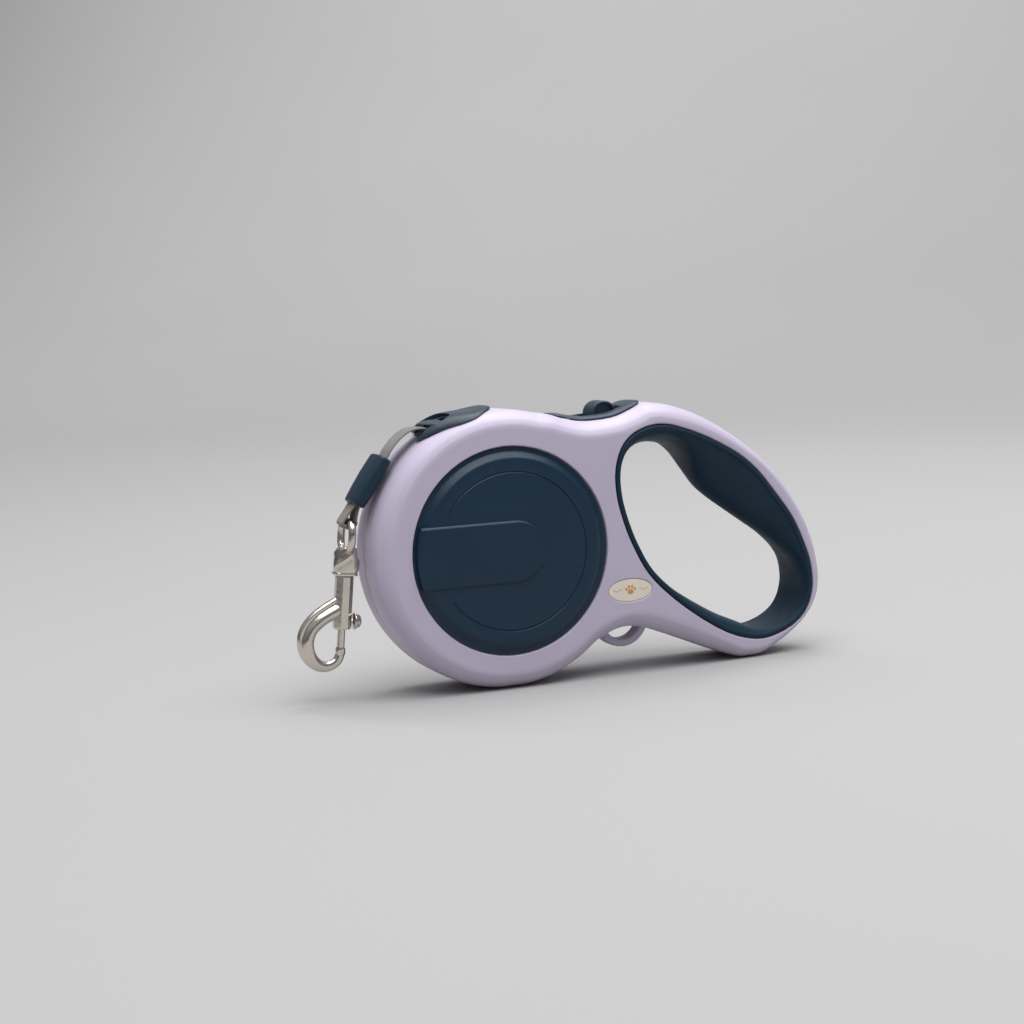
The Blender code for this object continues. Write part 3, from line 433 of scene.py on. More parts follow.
def soft_rubber(name, colour, roughness, grain=0.00005, **inputs):
    """Soft-touch rubber: matt, a fine even stipple and a slight bloom of dust in the hollows."""
    look = Look(name, colour, roughness, **inputs)
    dust = look.math("MULTIPLY", look.remap(look.pointiness(), 1.0, 0.0, 0.42, 0.50),
                     look.remap(look.noise(240.0, 5.0, 0.65), 0.0, 0.35))
    clouds = look.remap(look.noise(55.0, 4.0))
    body = look.mix(clouds, tint(colour, 0.93), tint(colour, 1.07))
    look.base(look.mix(dust, body, tint(colour, 1.6)))
    look.rough(look.remap(look.noise(210.0, 4.0), roughness - 0.05, roughness + 0.06))
    cells = look.node("ShaderNodeTexVoronoi", feature="SMOOTH_F1")
    cells.inputs["Scale"].default_value = 2100.0
    look.feed(cells.inputs["Vector"], look.place)
    look.bump(cells.outputs["Distance"], grain, 0.6)
    return look.material


def plated(name, colour, roughness):
    """Nickel plating on a die casting: near mirror, slightly wavy, with painted shade darkening the hollows,
    which are also a little rougher.
    """
    look = Look(name, colour, roughness, metallic=1.0)
    hollow = look.remap(look.pointiness(), 1.0, 0.0, 0.40, 0.49)
    # painted shade: the hollows, found by pointiness, darken the base colour and turn a little rougher
    hollow_shade = look.math("MULTIPLY", hollow, look.remap(look.noise(700.0, 4.0), 0.25, 0.9))
    look.base(look.mix(hollow_shade, colour, tint(colour, 0.42)))
    smear = look.remap(look.noise(330.0, 5.0, 0.65), roughness - 0.05, roughness + 0.07)
    look.rough(look.math("MULTIPLY_ADD", hollow_shade, 0.22, smear))
    waves = look.math("MULTIPLY_ADD", look.noise(1900.0, 3.0), 0.25, look.noise(260.0, 2.0))
    look.bump(waves, 0.00009, 0.55)
    return look.material


def plain_steel(name, colour, roughness):
    """Drawn or turned steel, finely marked."""
    look = Look(name, colour, roughness, metallic=1.0)
    lines = look.noise(2600.0, 3.0, 0.7)
    look.base(look.mix(look.remap(look.noise(300.0)), tint(colour, 0.88), tint(colour, 1.08)))
    look.rough(look.remap(lines, roughness - 0.08, roughness + 0.10))
    look.bump(lines, 0.00001, 0.6)
    return look.material


def webbing(name, colour):
    """Woven nylon tape: u along it and v across it are metres. Ribs of weft with warp floats between."""
    look = Look(name, colour, 0.78, Sheen_Weight=0.25, Sheen_Roughness=0.4)
    places = look.split(look.node("ShaderNodeUVMap", uv_map="along").outputs["UV"])
    wobble = look.math("MULTIPLY", look.noise(500.0, 2.0), 0.9)
    rib = look.wave(places["X"], 0.00080, wobble)
    cross = look.math("MULTIPLY", rib, look.wave(places["Y"], 0.00058, wobble))
    height = look.math("MULTIPLY_ADD", cross, 0.35, look.math("MULTIPLY_ADD", rib, 0.15, 0.5))
    fibre = look.noise(6500.0, 3.0, 0.7)
    height = look.math("MULTIPLY_ADD", fibre, 0.22, height)
    shaded = look.mix(look.remap(height, 0.0, 1.0, 0.15, 1.0), tint(colour, 0.62), tint(colour, 1.18))
    look.base(look.mix(look.remap(look.noise(90.0, 4.0), 0.0, 0.25), shaded, tint(colour, 0.80)))
    look.rough(look.remap(fibre, 0.70, 0.88))
    look.bump(height, 0.00016, 0.8)
    return look.material


def wound(name, colour):
    """Turns of tape on the reel, as rings round the drum's axis, woven on the edges that show."""
    look = Look(name, colour, 0.8)
    shift = look.node("ShaderNodeVectorMath", operation="SUBTRACT")
    shift.inputs[1].default_value = DRUM
    look.feed(shift.inputs[0], look.place)
    places = look.split(shift.outputs["Vector"])
    radius = look.math("SQRT", look.math("ADD", *(look.math("POWER", places[key], 2.0) for key in "XZ")))
    turns = look.wave(radius, 0.0007, look.noise(300.0))
    threads = look.noise(2500.0, 3.0)
    height = look.math("MULTIPLY_ADD", turns, 0.4, threads)
    look.base(look.mix(look.remap(height, 0.0, 1.0, 0.0, 1.2), tint(colour, 0.45), tint(colour, 1.1)))
    look.rough(look.remap(threads, 0.72, 0.9))
    look.bump(height, 0.0002, 0.7)
    return look.material


LAVENDER = moulded("lavender_shell", (0.520, 0.470, 0.600), 0.42, spread=0.025, wear=1.08)
NAVY = moulded("navy_plastic", (0.0068, 0.027, 0.054), 0.34, spread=0.06, wear=1.5, Specular_IOR_Level=0.30)
# painted light: a lighter, greyer copy of the navy plastic for the pads on top of the rim, standing in for the
# light from above
NAVY_PAINTED_LIGHTER = moulded("navy_painted_lighter", (0.024, 0.042, 0.062), 0.42, spread=0.06, wear=1.5, Specular_IOR_Level=0.35)
GRIP = soft_rubber("soft_grip", (0.009, 0.028, 0.050), 0.52, Specular_IOR_Level=0.18)
SLEEVE = soft_rubber("soft_sleeve", (0.008, 0.026, 0.048), 0.42, Specular_IOR_Level=0.30)
NICKEL = plated("nickel", (0.66, 0.61, 0.55), 0.17)
STEEL = plain_steel("steel", (0.52, 0.51, 0.50), 0.30)
SPRING_STEEL = plain_steel("spring_steel", (0.34, 0.35, 0.38), 0.34)
TAPE = webbing("tape_weave", (0.200, 0.196, 0.186))
TAPE_TURNS = wound("tape_turns", (0.200, 0.196, 0.186))
BLACK = moulded("black_plastic", (0.025, 0.025, 0.027), 0.45, spread=0.08, wear=1.4)
WHITE = moulded("white_plastic", (0.66, 0.66, 0.63), 0.42, spread=0.03, wear=1.05)
CREAM = moulded("badge_cream", (0.78, 0.71, 0.60), 0.26, grain=0.000004, spread=0.02, Coat_Weight=0.6)
AMBER = moulded("badge_amber", (0.62, 0.27, 0.06), 0.30, grain=0.000004, Coat_Weight=0.6)
OCHRE = moulded("badge_ochre", (0.60, 0.47, 0.20), 0.30, grain=0.000004, Coat_Weight=0.6)


# -------- the tape
def strip(name, line, widths, thickness):
    """A flat tape along (x, z) points, with rounded selvedges."""
    rings, travelled, run = [], [], 0.0
    section = [(-1 + 2 * k / 16, 0.5) for k in range(17)] + [(1 - 2 * k / 16, -0.5) for k in range(17)]
    for i, (x, z) in enumerate(line):
        (ax, az), (bx, bz) = line[max(i - 1, 0)], line[min(i + 1, len(line) - 1)]
        length = hypot(bx - ax, bz - az)
        nx, nz = -(bz - az) / length, (bx - ax) / length
        if i:
            run += dist((x, z), line[i - 1]) * MM
        travelled.append(run)
        ring = []
        for v, side in section:
            edge = 1 - 0.64 * max(abs(v) - 0.94, 0) / 0.06
            t = side * thickness * max(edge, 0.36)
            ring.append(at(x + nx * t, v * widths[i], z + nz * t))
        rings.append(ring)
    across = [v for v, _ in section]

    def uv(ring, point):
        return travelled[ring], across[point] * widths[ring] * MM

    return loft(name, rings, uv=uv)


def tape():
    """The free tape: out of the nozzle, into the sleeve, round the eye's bar and back into the sleeve."""
    bend = [polar(BEND_RADIUS, radians(a), EYE_BAR) for a in (20, -15, -50, -85, -120, -155, -190)]
    control = [*TAPE_LEAD, *(on_sleeve(s, LAYER) for s in (-6.5, -2.5, 3.0, 8.2)), *bend,
               *(on_sleeve(s, -LAYER) for s in (8.2, 4.0, 0.0))]
    line = spline(control, 8)
    sleeve_top = on_sleeve(-8.5, 0)[1]
    free, folded, at_bar = TAPE_HALF_WIDTHS
    widths, inside = [], False
    for x, z in line:
        inside = inside or z < sleeve_top - 1.0
        down = clamp((sleeve_top + 2.4 - z) / 2.6)
        off_bar = clamp((dist((x, z), EYE_BAR) - 3.0) / 4.0)
        widths.append(at_bar + (folded - at_bar) * off_bar if inside else free + (folded - free) * down)
    made = strip("tape_free", line, widths, 0.86)
    path = [tuple(at(x, 0, z)) for x, z in line]
    length = sum(dist(a, b) for a, b in zip(path, path[1:]))
    finish_piece(made, None, "tape_weave", TAPE, "tape_inner", "tape_lead", "tape_loop", weighted=False)
    x, z = on_sleeve(-9.0, 0)
    start, end = at(-26.5, 0, 44.9), at(x, 0, z)
    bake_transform(made)
    return made, path, length


# -------- casing
def casing_outline():
    start, end = (radians(a) for a in DRUM_ARC)
    count = 188
    arc = [polar(DRUM_RADIUS, start + (end - start) * i / count) for i in range(count + 1)]
    rest = spline([arc[-5], arc[-1], *HANDLE_FROM_DRUM, arc[0], arc[4]], 8)
    outline = arc + rest[9:-9]
    return [(x, max(z, FOOT_Z)) for x, z in outline]


def casing_shell(name, side):
    """One half, side -1 to the front or 1 to the rear: hollow, with the reel's room, screw bosses and cuts."""
    outline = casing_outline()
    profile = [(SEAM, 0.28), (0.24, 0.10), (0.42, 0.02), *RIM_CURVE]
    half = loft(name, [flat_ring(stepped_in(outline, inset), side * y) for y, inset in profile])
    hole = edge_cutter(name + "_hole", spline(OPENING, 12, closed=True), side, -1, HALF_THICKNESS, 0.7)
    well = prism(name + "_well", circle(REEL_ROOM, 96), -side, side * 12.8)
    cavity = loft(name + "_cavity", [flat_ring(outline, side * y, -wall)
                                     for y, wall in ((-1, WALL), (8, WALL), (12, 4.6))])
    carve(cavity, "DIFFERENCE", prism(name + "_core", circle(REEL_WALL, 96), -3 * side, side * 15))
    recess = edge_cutter(name + "_recess", circle(COVER_SEAT, 160), side, SEAT_FLOOR, HALF_THICKNESS, 0.45)
    carve(half, "UNION", accessory_loop(name, side))
    carve(half, "DIFFERENCE", hole, cavity, well, recess)
    bosses = [prism(f"{name}_boss_{i}", circle(SCREW_BOSS, 24, place), side * SEAM, side * 10.2)
              for i, place in enumerate(SCREWS)]
    hub = prism(name + "_hub", circle(6.6, 32), side * 11.9, side * 13.4)
    shelf = block(name + "_shelf", (33.4, side * SEAM, 25.2), (39.0, side * 6.4, 27.6))
    carve(half, "UNION", *bosses, hub, shelf)
    cutters = [prism(name + "_socket", circle(4.5, 32), side * 5, side * 13.2)]
    cutters += casing_cutters(name, side)
    carve(half, "DIFFERENCE", *cutters)
    return slimmed(half)


def block(name, low, high):
    (x0, y0, z0), (x1, y1, z1) = low, high
    return prism(name, [(x0, z0), (x1, z0), (x1, z1), (x0, z1)], y0, y1)


def box(half_length, half_height):
    return [(a * half_length, b * half_height) for a, b in ((-1, -1), (1, -1), (1, 1), (-1, 1))]


def slanted(name, middle, tilt, half_length, half_height, half_width):
    c, s = polar(1.0, radians(tilt))
    outline = [(middle[0] - a * c + b * s, middle[1] + a * s + b * c) for a, b in box(half_length, half_height)]
    return prism(name, outline, -half_width, half_width)


def casing_cutters(name, side):
    cutters = [
        mouth_cutter(name + "_mouth_pit", [*THROAT, (6.4, 5.7)]),
        slanted(name + "_tape_passage", (-12.0, 42.4), 10.5, 19, 2.6, 6),
        block(name + "_brake_slot", (33.0, -6.2, 38.4), (51.6, 6.2, 60)),
        block(name + "_brake_well", (27.6, -10.6, 27.6), (42.0, 6.2, 42.4)),
    ]
    for i, place in enumerate(SCREWS):
        if side > 0:
            cutters.append(prism(f"{name}_hole_{i}", circle(SCREW_HOLE, 20, place), -2, 18))
            face = 15.9 if hypot(*place) > DRUM_RADIUS else HALF_THICKNESS
            cutters.append(edge_cutter(f"{name}_head_{i}", circle(2.0, 28, place), 1, 8.0, face, 0.35))
        else:
            cutters.append(prism(f"{name}_pilot_{i}", circle(SCREW_HOLE, 20, place), 2, -9))
    if side < 0:
        cutters.append(block(name + "_stem_way", (27.6, -10.6, 20), (34.4, -6.6, 40)))
        outline = oval(BADGE_CENTRE, BADGE_SIZE[0] + 0.10, BADGE_SIZE[1] + 0.10, 96)
        cutters.append(edge_cutter(name + "_badge", outline, -1, 15.2, HALF_THICKNESS, 0.35))
    else:
        cutters.append(prism(name + "_hub_hole", circle(1.6, 24), 8, 20))
        cutters.append(prism(name + "_hub_well", circle(3.4, 32), 13.7, 20))
    return cutters


def accessory_loop(name, side):
    (r_in, r_out), w = LOOP_RADII, LOOP_HALF_WIDTH
    section = [(r_in + 0.2, SEAM), (r_out - 0.25, SEAM), (r_out, SEAM + 0.25)]
    section += [polar(1.1, a, (r_out - 1.1, w - 1.1)) for a in quarter(6)]
    section += [(r_in + 0.7 - 0.7 * sin(a), w - 0.7 + 0.7 * cos(a)) for a in quarter(5)]
    section.append((r_in, SEAM + 0.25))
    rings = [[at(LOOP_CENTRE[0] + r * c, side * y, LOOP_CENTRE[1] + r * s) for r, y in section]
             for c, s in circle(1.0, 72)]
    return loft(name + "_loop", rings, closed=True)


# -------- side covers
def groove_depth(angle):
    """The thin groove runs round the disc and stops short of the tab on both sides."""
    place = degrees(angle) % 360
    into_gap = max(0.0, min(place - GROOVE_GAP[0], GROOVE_GAP[1] - place))
    return max(0.0, 1 - into_gap / 1.6)


def cover(name, side):
    """A round cover: a thin flange, a bevel, the grooved face, and the raised tab that runs to the rim."""
    count = 288
    profile = [(37.5, 14.55), (37.95, 14.65), (38.0, 14.9), (37.93, 15.12), (37.75, 15.18), (36.55, 15.2),
               (36.3, 15.27), (36.05, 15.45), (34.3, 16.82), (34.0, 17.0), (33.6, 17.14), (33.1, COVER_TOP),
               (31.6, COVER_TOP)]
    rings = [flat_ring(circle(r, count), side * y) for r, y in profile]
    groove = 0.42
    for r, share in ((29.50, 0.0), (29.30, 0.35), (29.12, 0.95), (28.88, 0.95), (28.62, 0.35), (28.36, 0.0)):
        rings.append([at(x, side * (COVER_TOP - groove * share * groove_depth(a)), z)
                      for a, (x, z) in zip(turn(count), circle(r, count))])
    rings.append(flat_ring(circle(20, count), side * COVER_TOP))
    disc = loft(name, rings)
    tab_end = 36.9
    reach = asin(TAB_HALF / tab_end)
    outline = [polar(TAB_HALF, pi * (i / 40 - 0.5), (1.2, 0.0)) for i in range(41)]
    outline += [(-tab_end * cos(a), tab_end * sin(a)) for a in (reach * (1 - i / 8) for i in range(17))]
    tab_rings = [flat_ring(outline, side * 14.9)]
    tab_rings += [flat_ring(outline, side * (TAB_TOP - below), -inward) for inward, below in (
        (0.0, 0.80), (0.04, 0.66), (0.30, 0.36), (0.80, 0.07), (0.95, 0.015), (1.10, 0.0))]
    pip = prism(name + "_pip", circle(0.42, 16, (-25.1, -11.5 * side)), side * 17.0, side * 17.32)
    carve(disc, "UNION", loft(name + "_tab", tab_rings), pip)
    if side > 0:
        carve(disc, "DIFFERENCE", prism(name + "_relief", circle(4.2, 40), 14.0, 15.6))
    return disc


# -------- grip
def grip():
    """The soft liner: a rounded lip at each face and a swell between them, deepest under the fingers."""
    outer = grown(spline(OPENING, 12, closed=True), -0.3)
    crown = spline(CROWN, 12, closed=True)
    facing = normals(outer)
    lip_start, lip_radius = 15.25, 0.95
    front = [(-lip_start - lip_radius * cos(a), lip_radius + lip_radius * sin(a))
             for a in (radians(-90 + 15 * i) for i in range(13))]
    rear = [(-y, d) for y, d in reversed(front)]
    rings = []
    for (x, z), (nx, nz), (cx, cz) in zip(outer, facing, crown):
        depth = hypot(x - cx, z - cz)
        deep = clamp((depth - 5.0) / 8.0)
        start = 2 * lip_radius / depth
        lip_x, lip_z = x - nx * 2 * lip_radius, z - nz * 2 * lip_radius
        line = [at(x - nx * d, y, z - nz * d) for y, d in [(0.0, 0.0), *front]]
        for k in range(1, 40):
            y = -lip_start * cos(pi * k / 40)
            t = abs(y) / lip_start
            full = (1 - t ** (2.6 - 0.7 * deep)) ** (0.62 + 0.2 * deep)
            share = start + (1 - start) * full
            blend = min(1.0, (1 - t) / 0.25)
            px, pz = x + (cx - x) * share, z + (cz - z) * share
            qx, qz = lip_x + (cx - x) * (share - start), lip_z + (cz - z) * (share - start)
            line.append(at(qx + (px - qx) * blend, y, qz + (pz - qz) * blend))
        line += [at(x - nx * d, y, z - nz * d) for y, d in rear]
        rings.append(line)
    return slimmed(loft("grip_liner", rings, closed=True))


# -------- badge
def badge():
    outline = oval(BADGE_CENTRE, *BADGE_SIZE, 96)
    return loft("badge_plate", [flat_ring(outline, y, grow) for grow, y in (
        (0.0, -15.5), (0.0, -15.66), (-0.06, -15.76), (-0.2, -15.84), (-0.45, -15.88), (-1.6, -15.9))])


def patch(name, outline, look):
    """A printed patch, a hair's breadth proud of the badge."""
    made = loft(name, [flat_ring(outline, y, grow)
                       for grow, y in ((0.0, -15.86), (0.0, -15.925), (-0.05, -15.935))])
    return finish_piece(made, "casing", "badge_cream", look, weighted=False)


def badge_print():
    """A generic paw between two small sprigs."""
    bx, bz = BADGE_CENTRE
    patch("badge_paw_pad", oval((bx, bz - 0.55), 1.25, 0.95, 28), AMBER)
    outer, inner = (0.46, 0.62), (0.48, 0.70)
    for toe, (dx, dz, (rx, rz)) in enumerate((
            (-1.75, 0.45, outer), (-0.65, 1.25, inner), (0.65, 1.25, inner), (1.75, 0.45, outer))):
        patch(f"badge_paw_toe_{toe + 1}", oval((bx + dx, bz + dz), rx, rz, 20), AMBER)
    for sprig, way in (("left", -1), ("right", 1)):
        for leaf, (dx, dz, tilt) in enumerate(((4.1, 0.35, 12), (5.5, -0.05, -8), (6.8, 0.30, 15))):
            c, s = polar(1.0, radians(tilt * way))
            outline = [(bx + way * dx + x * c - z * s, bz + dz + x * s + z * c)
                       for x, z in oval((0, 0), 0.62, 0.24, 20)]
            patch(f"badge_leaf_{sprig}_{leaf + 1}", outline, OCHRE)


# -------- pads on the rim
def rim_drop(y):
    """How far the rim lies below its crown at distance y from the middle plane."""
    y = abs(y)
    if y <= RIM_CURVE[0][0]:
        return 0.0
    for (w0, d0), (w1, d1) in zip(RIM_CURVE, RIM_CURVE[1:]):
        if y <= w1:
            return d0 + (d1 - d0) * (y - w0) / max(w1 - w0, 1e-6)
    return RIM_CURVE[-1][1]


def rim_pad(name, stations):
    """A pad on the rim. stations: (x, z, nx, nz, half width, height) along its middle line."""
    across, round_over = 36, 0.55
    rings = []
    for x, z, nx, nz, half, height in stations:
        top, bottom = [], []
        for k in range(across + 1):
            v = -cos(pi * k / across)
            y = half * v
            edge = (1 - abs(v) ** 7) ** 0.5
            up = 0.45 + height * (round_over * edge + (1 - round_over) * edge * (1 - v * v) ** 0.15) - rim_drop(y)
            down = (0.42 if 0 < k < across else 0.45) - rim_drop(y)
            top.append(at(x + nx * up, y, z + nz * up))
            bottom.append(at(x + nx * down, y, z + nz * down))
        rings.append(top + bottom[1:-1][::-1])
    return loft(name, rings)


def nozzle():
    """The cap at the tape's exit: low at the saddle end, a hood round the mouth, a longer lip in front."""
    pad = rim_pad("nozzle_cap", [
        (*polar(DRUM_RADIUS, radians(place)), *polar(1.0, radians(place)), half, height)
        for place, half, height in spline(CAP_STATIONS, 5)])
    beside_lip = ((8.2, 0.0), (7.0, 14.0), (16.0, 14.0), (16.0, 0.0))
    carve(pad, "DIFFERENCE", mouth_cutter("nozzle_throat", [*THROAT, (14.5, 5.6)]),
          mouth_cutter("nozzle_well", WELL, 0.8),
          loft("nozzle_far_lip", [[in_mouth(u, y, up) for u, y in beside_lip] for up in (-9.0, 9.0)]))
    return carve(pad, "UNION", tape_guide())


def in_mouth(along, y, up):
    """A place from the mouth's middle: along the rim towards the tape's end, across, and out from the rim."""
    p = MOUTH_ALONG * along + MOUTH_UP * (DRUM_RADIUS + up)
    return at(p.x, y, p.z)


def tape_guide():
    """The tongue that the tape runs under, on a pin across the mouth."""
    rings = []
    count = 26
    for i in range(count + 1):
        s = -cos(pi * i / count)
        u = 2.7 + 3.7 * s
        half = 7.5 * max(1 - abs(s) ** 2.2, 0.0) ** 0.5 + 0.15
        under = 0.45 + 0.20 * (u - 0.9) + 0.022 * (u - 0.9) ** 2
        swell = 0.50 * max(1 - s * s, 0.02) ** 0.5
        rings.append([in_mouth(u, half * c, under + 0.95 + swell * d * (1.9 if d > 0 else 1.3))
                      for c, d in circle(1.0, 32)])
    tongue = loft("tape_guide", rings)
    pin = loft("tape_guide_pin", [[in_mouth(u, y, up) for u, up in circle(0.42, 20, (0.6, 0.75))]
                                  for y in (-10.2, 10.2)])
    return carve(tongue, "UNION", pin)


def mouth_cutter(name, half, floor=-3.6):
    """An eye-shaped well, open towards the tape's end, from its half outline of (along, across)."""
    outline = spline(half[:-1], 5) + [half[-1]]
    outline += [(u, -v) for u, v in reversed(outline) if v > 0.01]
    return loft(name, [[in_mouth(u * (1 + flare), v * (1 + flare), up) for u, v in outline]
                       for up, flare in ((floor, 0.0), (1.8, 0.0), (2.3, 0.01), (2.9, 0.04), (7.0, 0.06))])


def saddle_pad():
    """The thumb pad: widest past its middle, with a slot for the button."""
    outline = casing_outline()
    stretch = sorted(((p, n) for p, n in zip(outline, normals(outline)) if p[1] > 40 and 21.0 <= p[0] <= 59.8),
                     key=lambda item: item[0][0])
    low, high = stretch[0][0][0], stretch[-1][0][0]
    stations = []
    for (x, z), (nx, nz) in stretch:
        t = (x - low) / (high - low)
        half = 2.0 + 7.4 * sin(pi * min(t * 0.70 + 0.06, 1)) ** 0.8
        end = max(0.0, (t - 0.88) / 0.12)
        half *= (1 - end ** 2.4) ** 0.5 if end < 1 else 0.0
        lift = 1.25 * min(1.0, t / 0.10) ** 0.7 * (1 - 0.75 * max(0.0, (t - 0.80) / 0.20) ** 2)
        stations.append((x, z, nx, nz, max(half, 0.7), lift + 0.02))
    pad = rim_pad("saddle_pad", stations)
    return carve(pad, "DIFFERENCE", block("saddle_slot", (33.6, -5.4, 38), (51.0, 5.4, 60)))


# -------- brake
def brake_plate():
    """The button: a dished plate in the saddle pad's slot, with its stem to the ratchet below."""
    half = 4.8
    top = [(28.9, 42.0), (31.0, 43.6), (34.4, 44.5), (38.0, 44.7), (43.0, 44.9), (49.4, 45.0)]
    low = [(49.4, 43.2), (43.0, 42.2), (38.0, 41.2), (34.4, 40.4), (31.0, 39.8), (28.9, 39.5)]
    outline = (spline(top, 4) + spline(low, 4))[::-1]
    edge = ((half, 0.35), (half - 0.12, 0.12), (half - 0.35, 0.0))
    plate = loft("brake_plate", [flat_ring(outline, -y, -inward) for y, inward in edge]
                 + [flat_ring(outline, y, -inward) for y, inward in reversed(edge)])
    return carve(plate, "UNION", block("brake_stem", (28.5, -9.7, 31.4), (30.7, -7.5, 41.4)),
                 block("brake_bridge", (28.5, -9.7, 39.9), (30.7, 0, 41.7)))


def thumb_knob():
    """A half-round slider with hollowed ends, across the saddle."""
    centre, foot, top, half_length, half_width = 44.2, 45.5, 51.9, 5.2, 4.3
    outline = [(centre + half_length * cos(a), foot + 0.9 + (top - foot - 0.9) * sin(a) ** 0.85)
               for a in (pi * i / 48 for i in range(49))]
    outline += [(centre - half_length, foot), (centre + half_length, foot)]
    edge = [(-0.7 * (1 - sin(a)), half_width - 0.7 * (1 - cos(a))) for a in quarter(6)]
    rings = [flat_ring(outline, -y, grow) for grow, y in edge]
    rings += [flat_ring(outline, y) for y in (-2.0, 0.0, 2.0)]
    rings += [flat_ring(outline, y, grow) for grow, y in reversed(edge)]
    knob = loft("thumb_knob", rings)
    hollow = [(centre + 4.0 * cos(a), foot + 1.2 + 4.3 * sin(a) ** 0.9)
              for a in (pi * i / 32 for i in range(33))]
    ends = [edge_cutter(f"thumb_hollow_{side}", hollow, side, 3.3, half_width, 0.25) for side in (-1, 1)]
    return carve(knob, "DIFFERENCE", *ends)


def coil(name, start, end, radius, wire, turns, per_turn=40):
    """A compression spring between two world points, with its end turns closed up."""
    axis = (end - start).normalized()
    u = axis.orthogonal().normalized()
    v = axis.cross(u)
    height = (end - start).length - 2 * wire * MM
    rings = []
    total = turns * per_turn
    for i in range(total + 1):
        share = i / total
        rise = share - 0.055 * sin(2 * pi * share)
        a = 2 * pi * i / per_turn
        radial = u * cos(a) + v * sin(a)
        centre = start + radial * radius * MM + axis * (wire * MM + height * rise)
        rings.append([centre + (radial * cos(b) + axis * sin(b)) * wire * MM for b in turn(12)])
    return loft(name, rings)


def screw(name, place, seat, tip, head, shank):
    """A pan-head screw seen from the rear, with a cross recess and threads turned as rings."""
    profile = [(0.25, tip), (shank, tip + 0.9)]
    pitch, y = 0.55, tip + 1.1
    crest, root = shank + 0.16, shank - 0.08
    while y < seat - 1.2:
        profile += [(crest, y), (crest, y + 0.10), (root, y + 0.30), (root, y + 0.36)]
        y += pitch
    profile += [(shank, seat - 0.6), (shank, seat + 0.1), (head, seat + 0.12), (head, seat + 0.55)]
    profile += [(head * cos(a), seat + 0.55 + 0.85 * sin(a)) for a in quarter(8)[1:-1]]
    made = loft(name, [flat_ring(circle(r, 32, place), y) for r, y in profile])
    long, short = head * 0.60, head * 0.15
    arms = [prism_taper(f"{name}_recess_{i}", place, w, h, seat + 0.45, seat + 1.6)
            for i, (w, h) in enumerate(((long, short), (short, long)))]
    return carve(made, "DIFFERENCE", *arms)


def prism_taper(name, place, w, h, low, high):
    return loft(name, [flat_ring([(place[0] + share * a, place[1] + share * b) for a, b in box(w, h)], y)
                       for share, y in ((0.72, low), (1.12, high))])


# -------- leash end
def sleeve_ring(s, half_width, half_thickness, powers, count):
    ring = []
    for c, d in circle(1.0, count):
        x, z = on_sleeve(s, half_thickness * bulge(d, powers[1]))
        ring.append(at(x, half_width * bulge(c, powers[0]), z))
    return ring


def sleeve():
    """A rubber boot over the folded tape, crowned on its faces, with rolled ends."""
    top, bottom, roll = -10.4, 9.3, 0.9

    def ring(s, grow, crown=0.0):
        return sleeve_ring(s, 6.6 + grow, 2.95 + grow + crown, (0.60, 0.70), 64)

    rings = [ring(top + roll * (1 - cos(a)), -roll * (1 - sin(a))) for a in quarter(6)]
    for i in range(1, 20):
        swell = sin(pi * i / 20)
        rings.append(ring(top + roll + (bottom - top - 2 * roll) * i / 20, 0.12 * swell, 0.20 * swell))
    rings += [ring(bottom - roll * (1 - cos(a)), -roll * (1 - sin(a))) for a in reversed(quarter(6))]
    slot = [sleeve_ring(s, 4.85 + grow, 1.25 + grow, (0.35, 0.6), 48) for s, grow in (
        (-13.0, 0.55), (top, 0.50), (-10.0, 0.15), (-9.5, 0.0), (8.4, 0.0), (8.9, 0.15), (bottom, 0.50),
        (13.0, 0.55))]
    return carve(loft("sleeve_boot", rings), "DIFFERENCE", loft("sleeve_slot", slot))


# -------- bolt snap
def hook_rings(profile, count, phase=0.0):
    """Rings round the snap's own line, from (radius, down)."""
    return [[on_hook(r * cos(a + phase), r * sin(a + phase), down) for a in turn(count)]
            for r, down in profile]


def hook_sweep(name, line, groove, count=40, squash=0.82, square=0.86):
    """A tube in the snap's middle plane through (across, down, half thickness), squarish in section."""
    rings = []
    total = len(line) - 1
    for i, (u, d, r) in enumerate(line):
        a, b = line[max(i - 1, 0)], line[min(i + 1, total)]
        length = hypot(b[0] - a[0], b[1] - a[1])
        nu, nd = -(b[1] - a[1]) / length, (b[0] - a[0]) / length
        ring = []
        for t in turn(count):
            dent = groove(i / total, t)
            out = r * bulge(cos(t), square) * (1 - 0.25 * dent)
            side = squash * r * bulge(sin(t), square) * (1 - dent)
            ring.append(on_hook(u + nu * out, side, d + nd * out))
        rings.append(ring)
    return loft(name, rings)


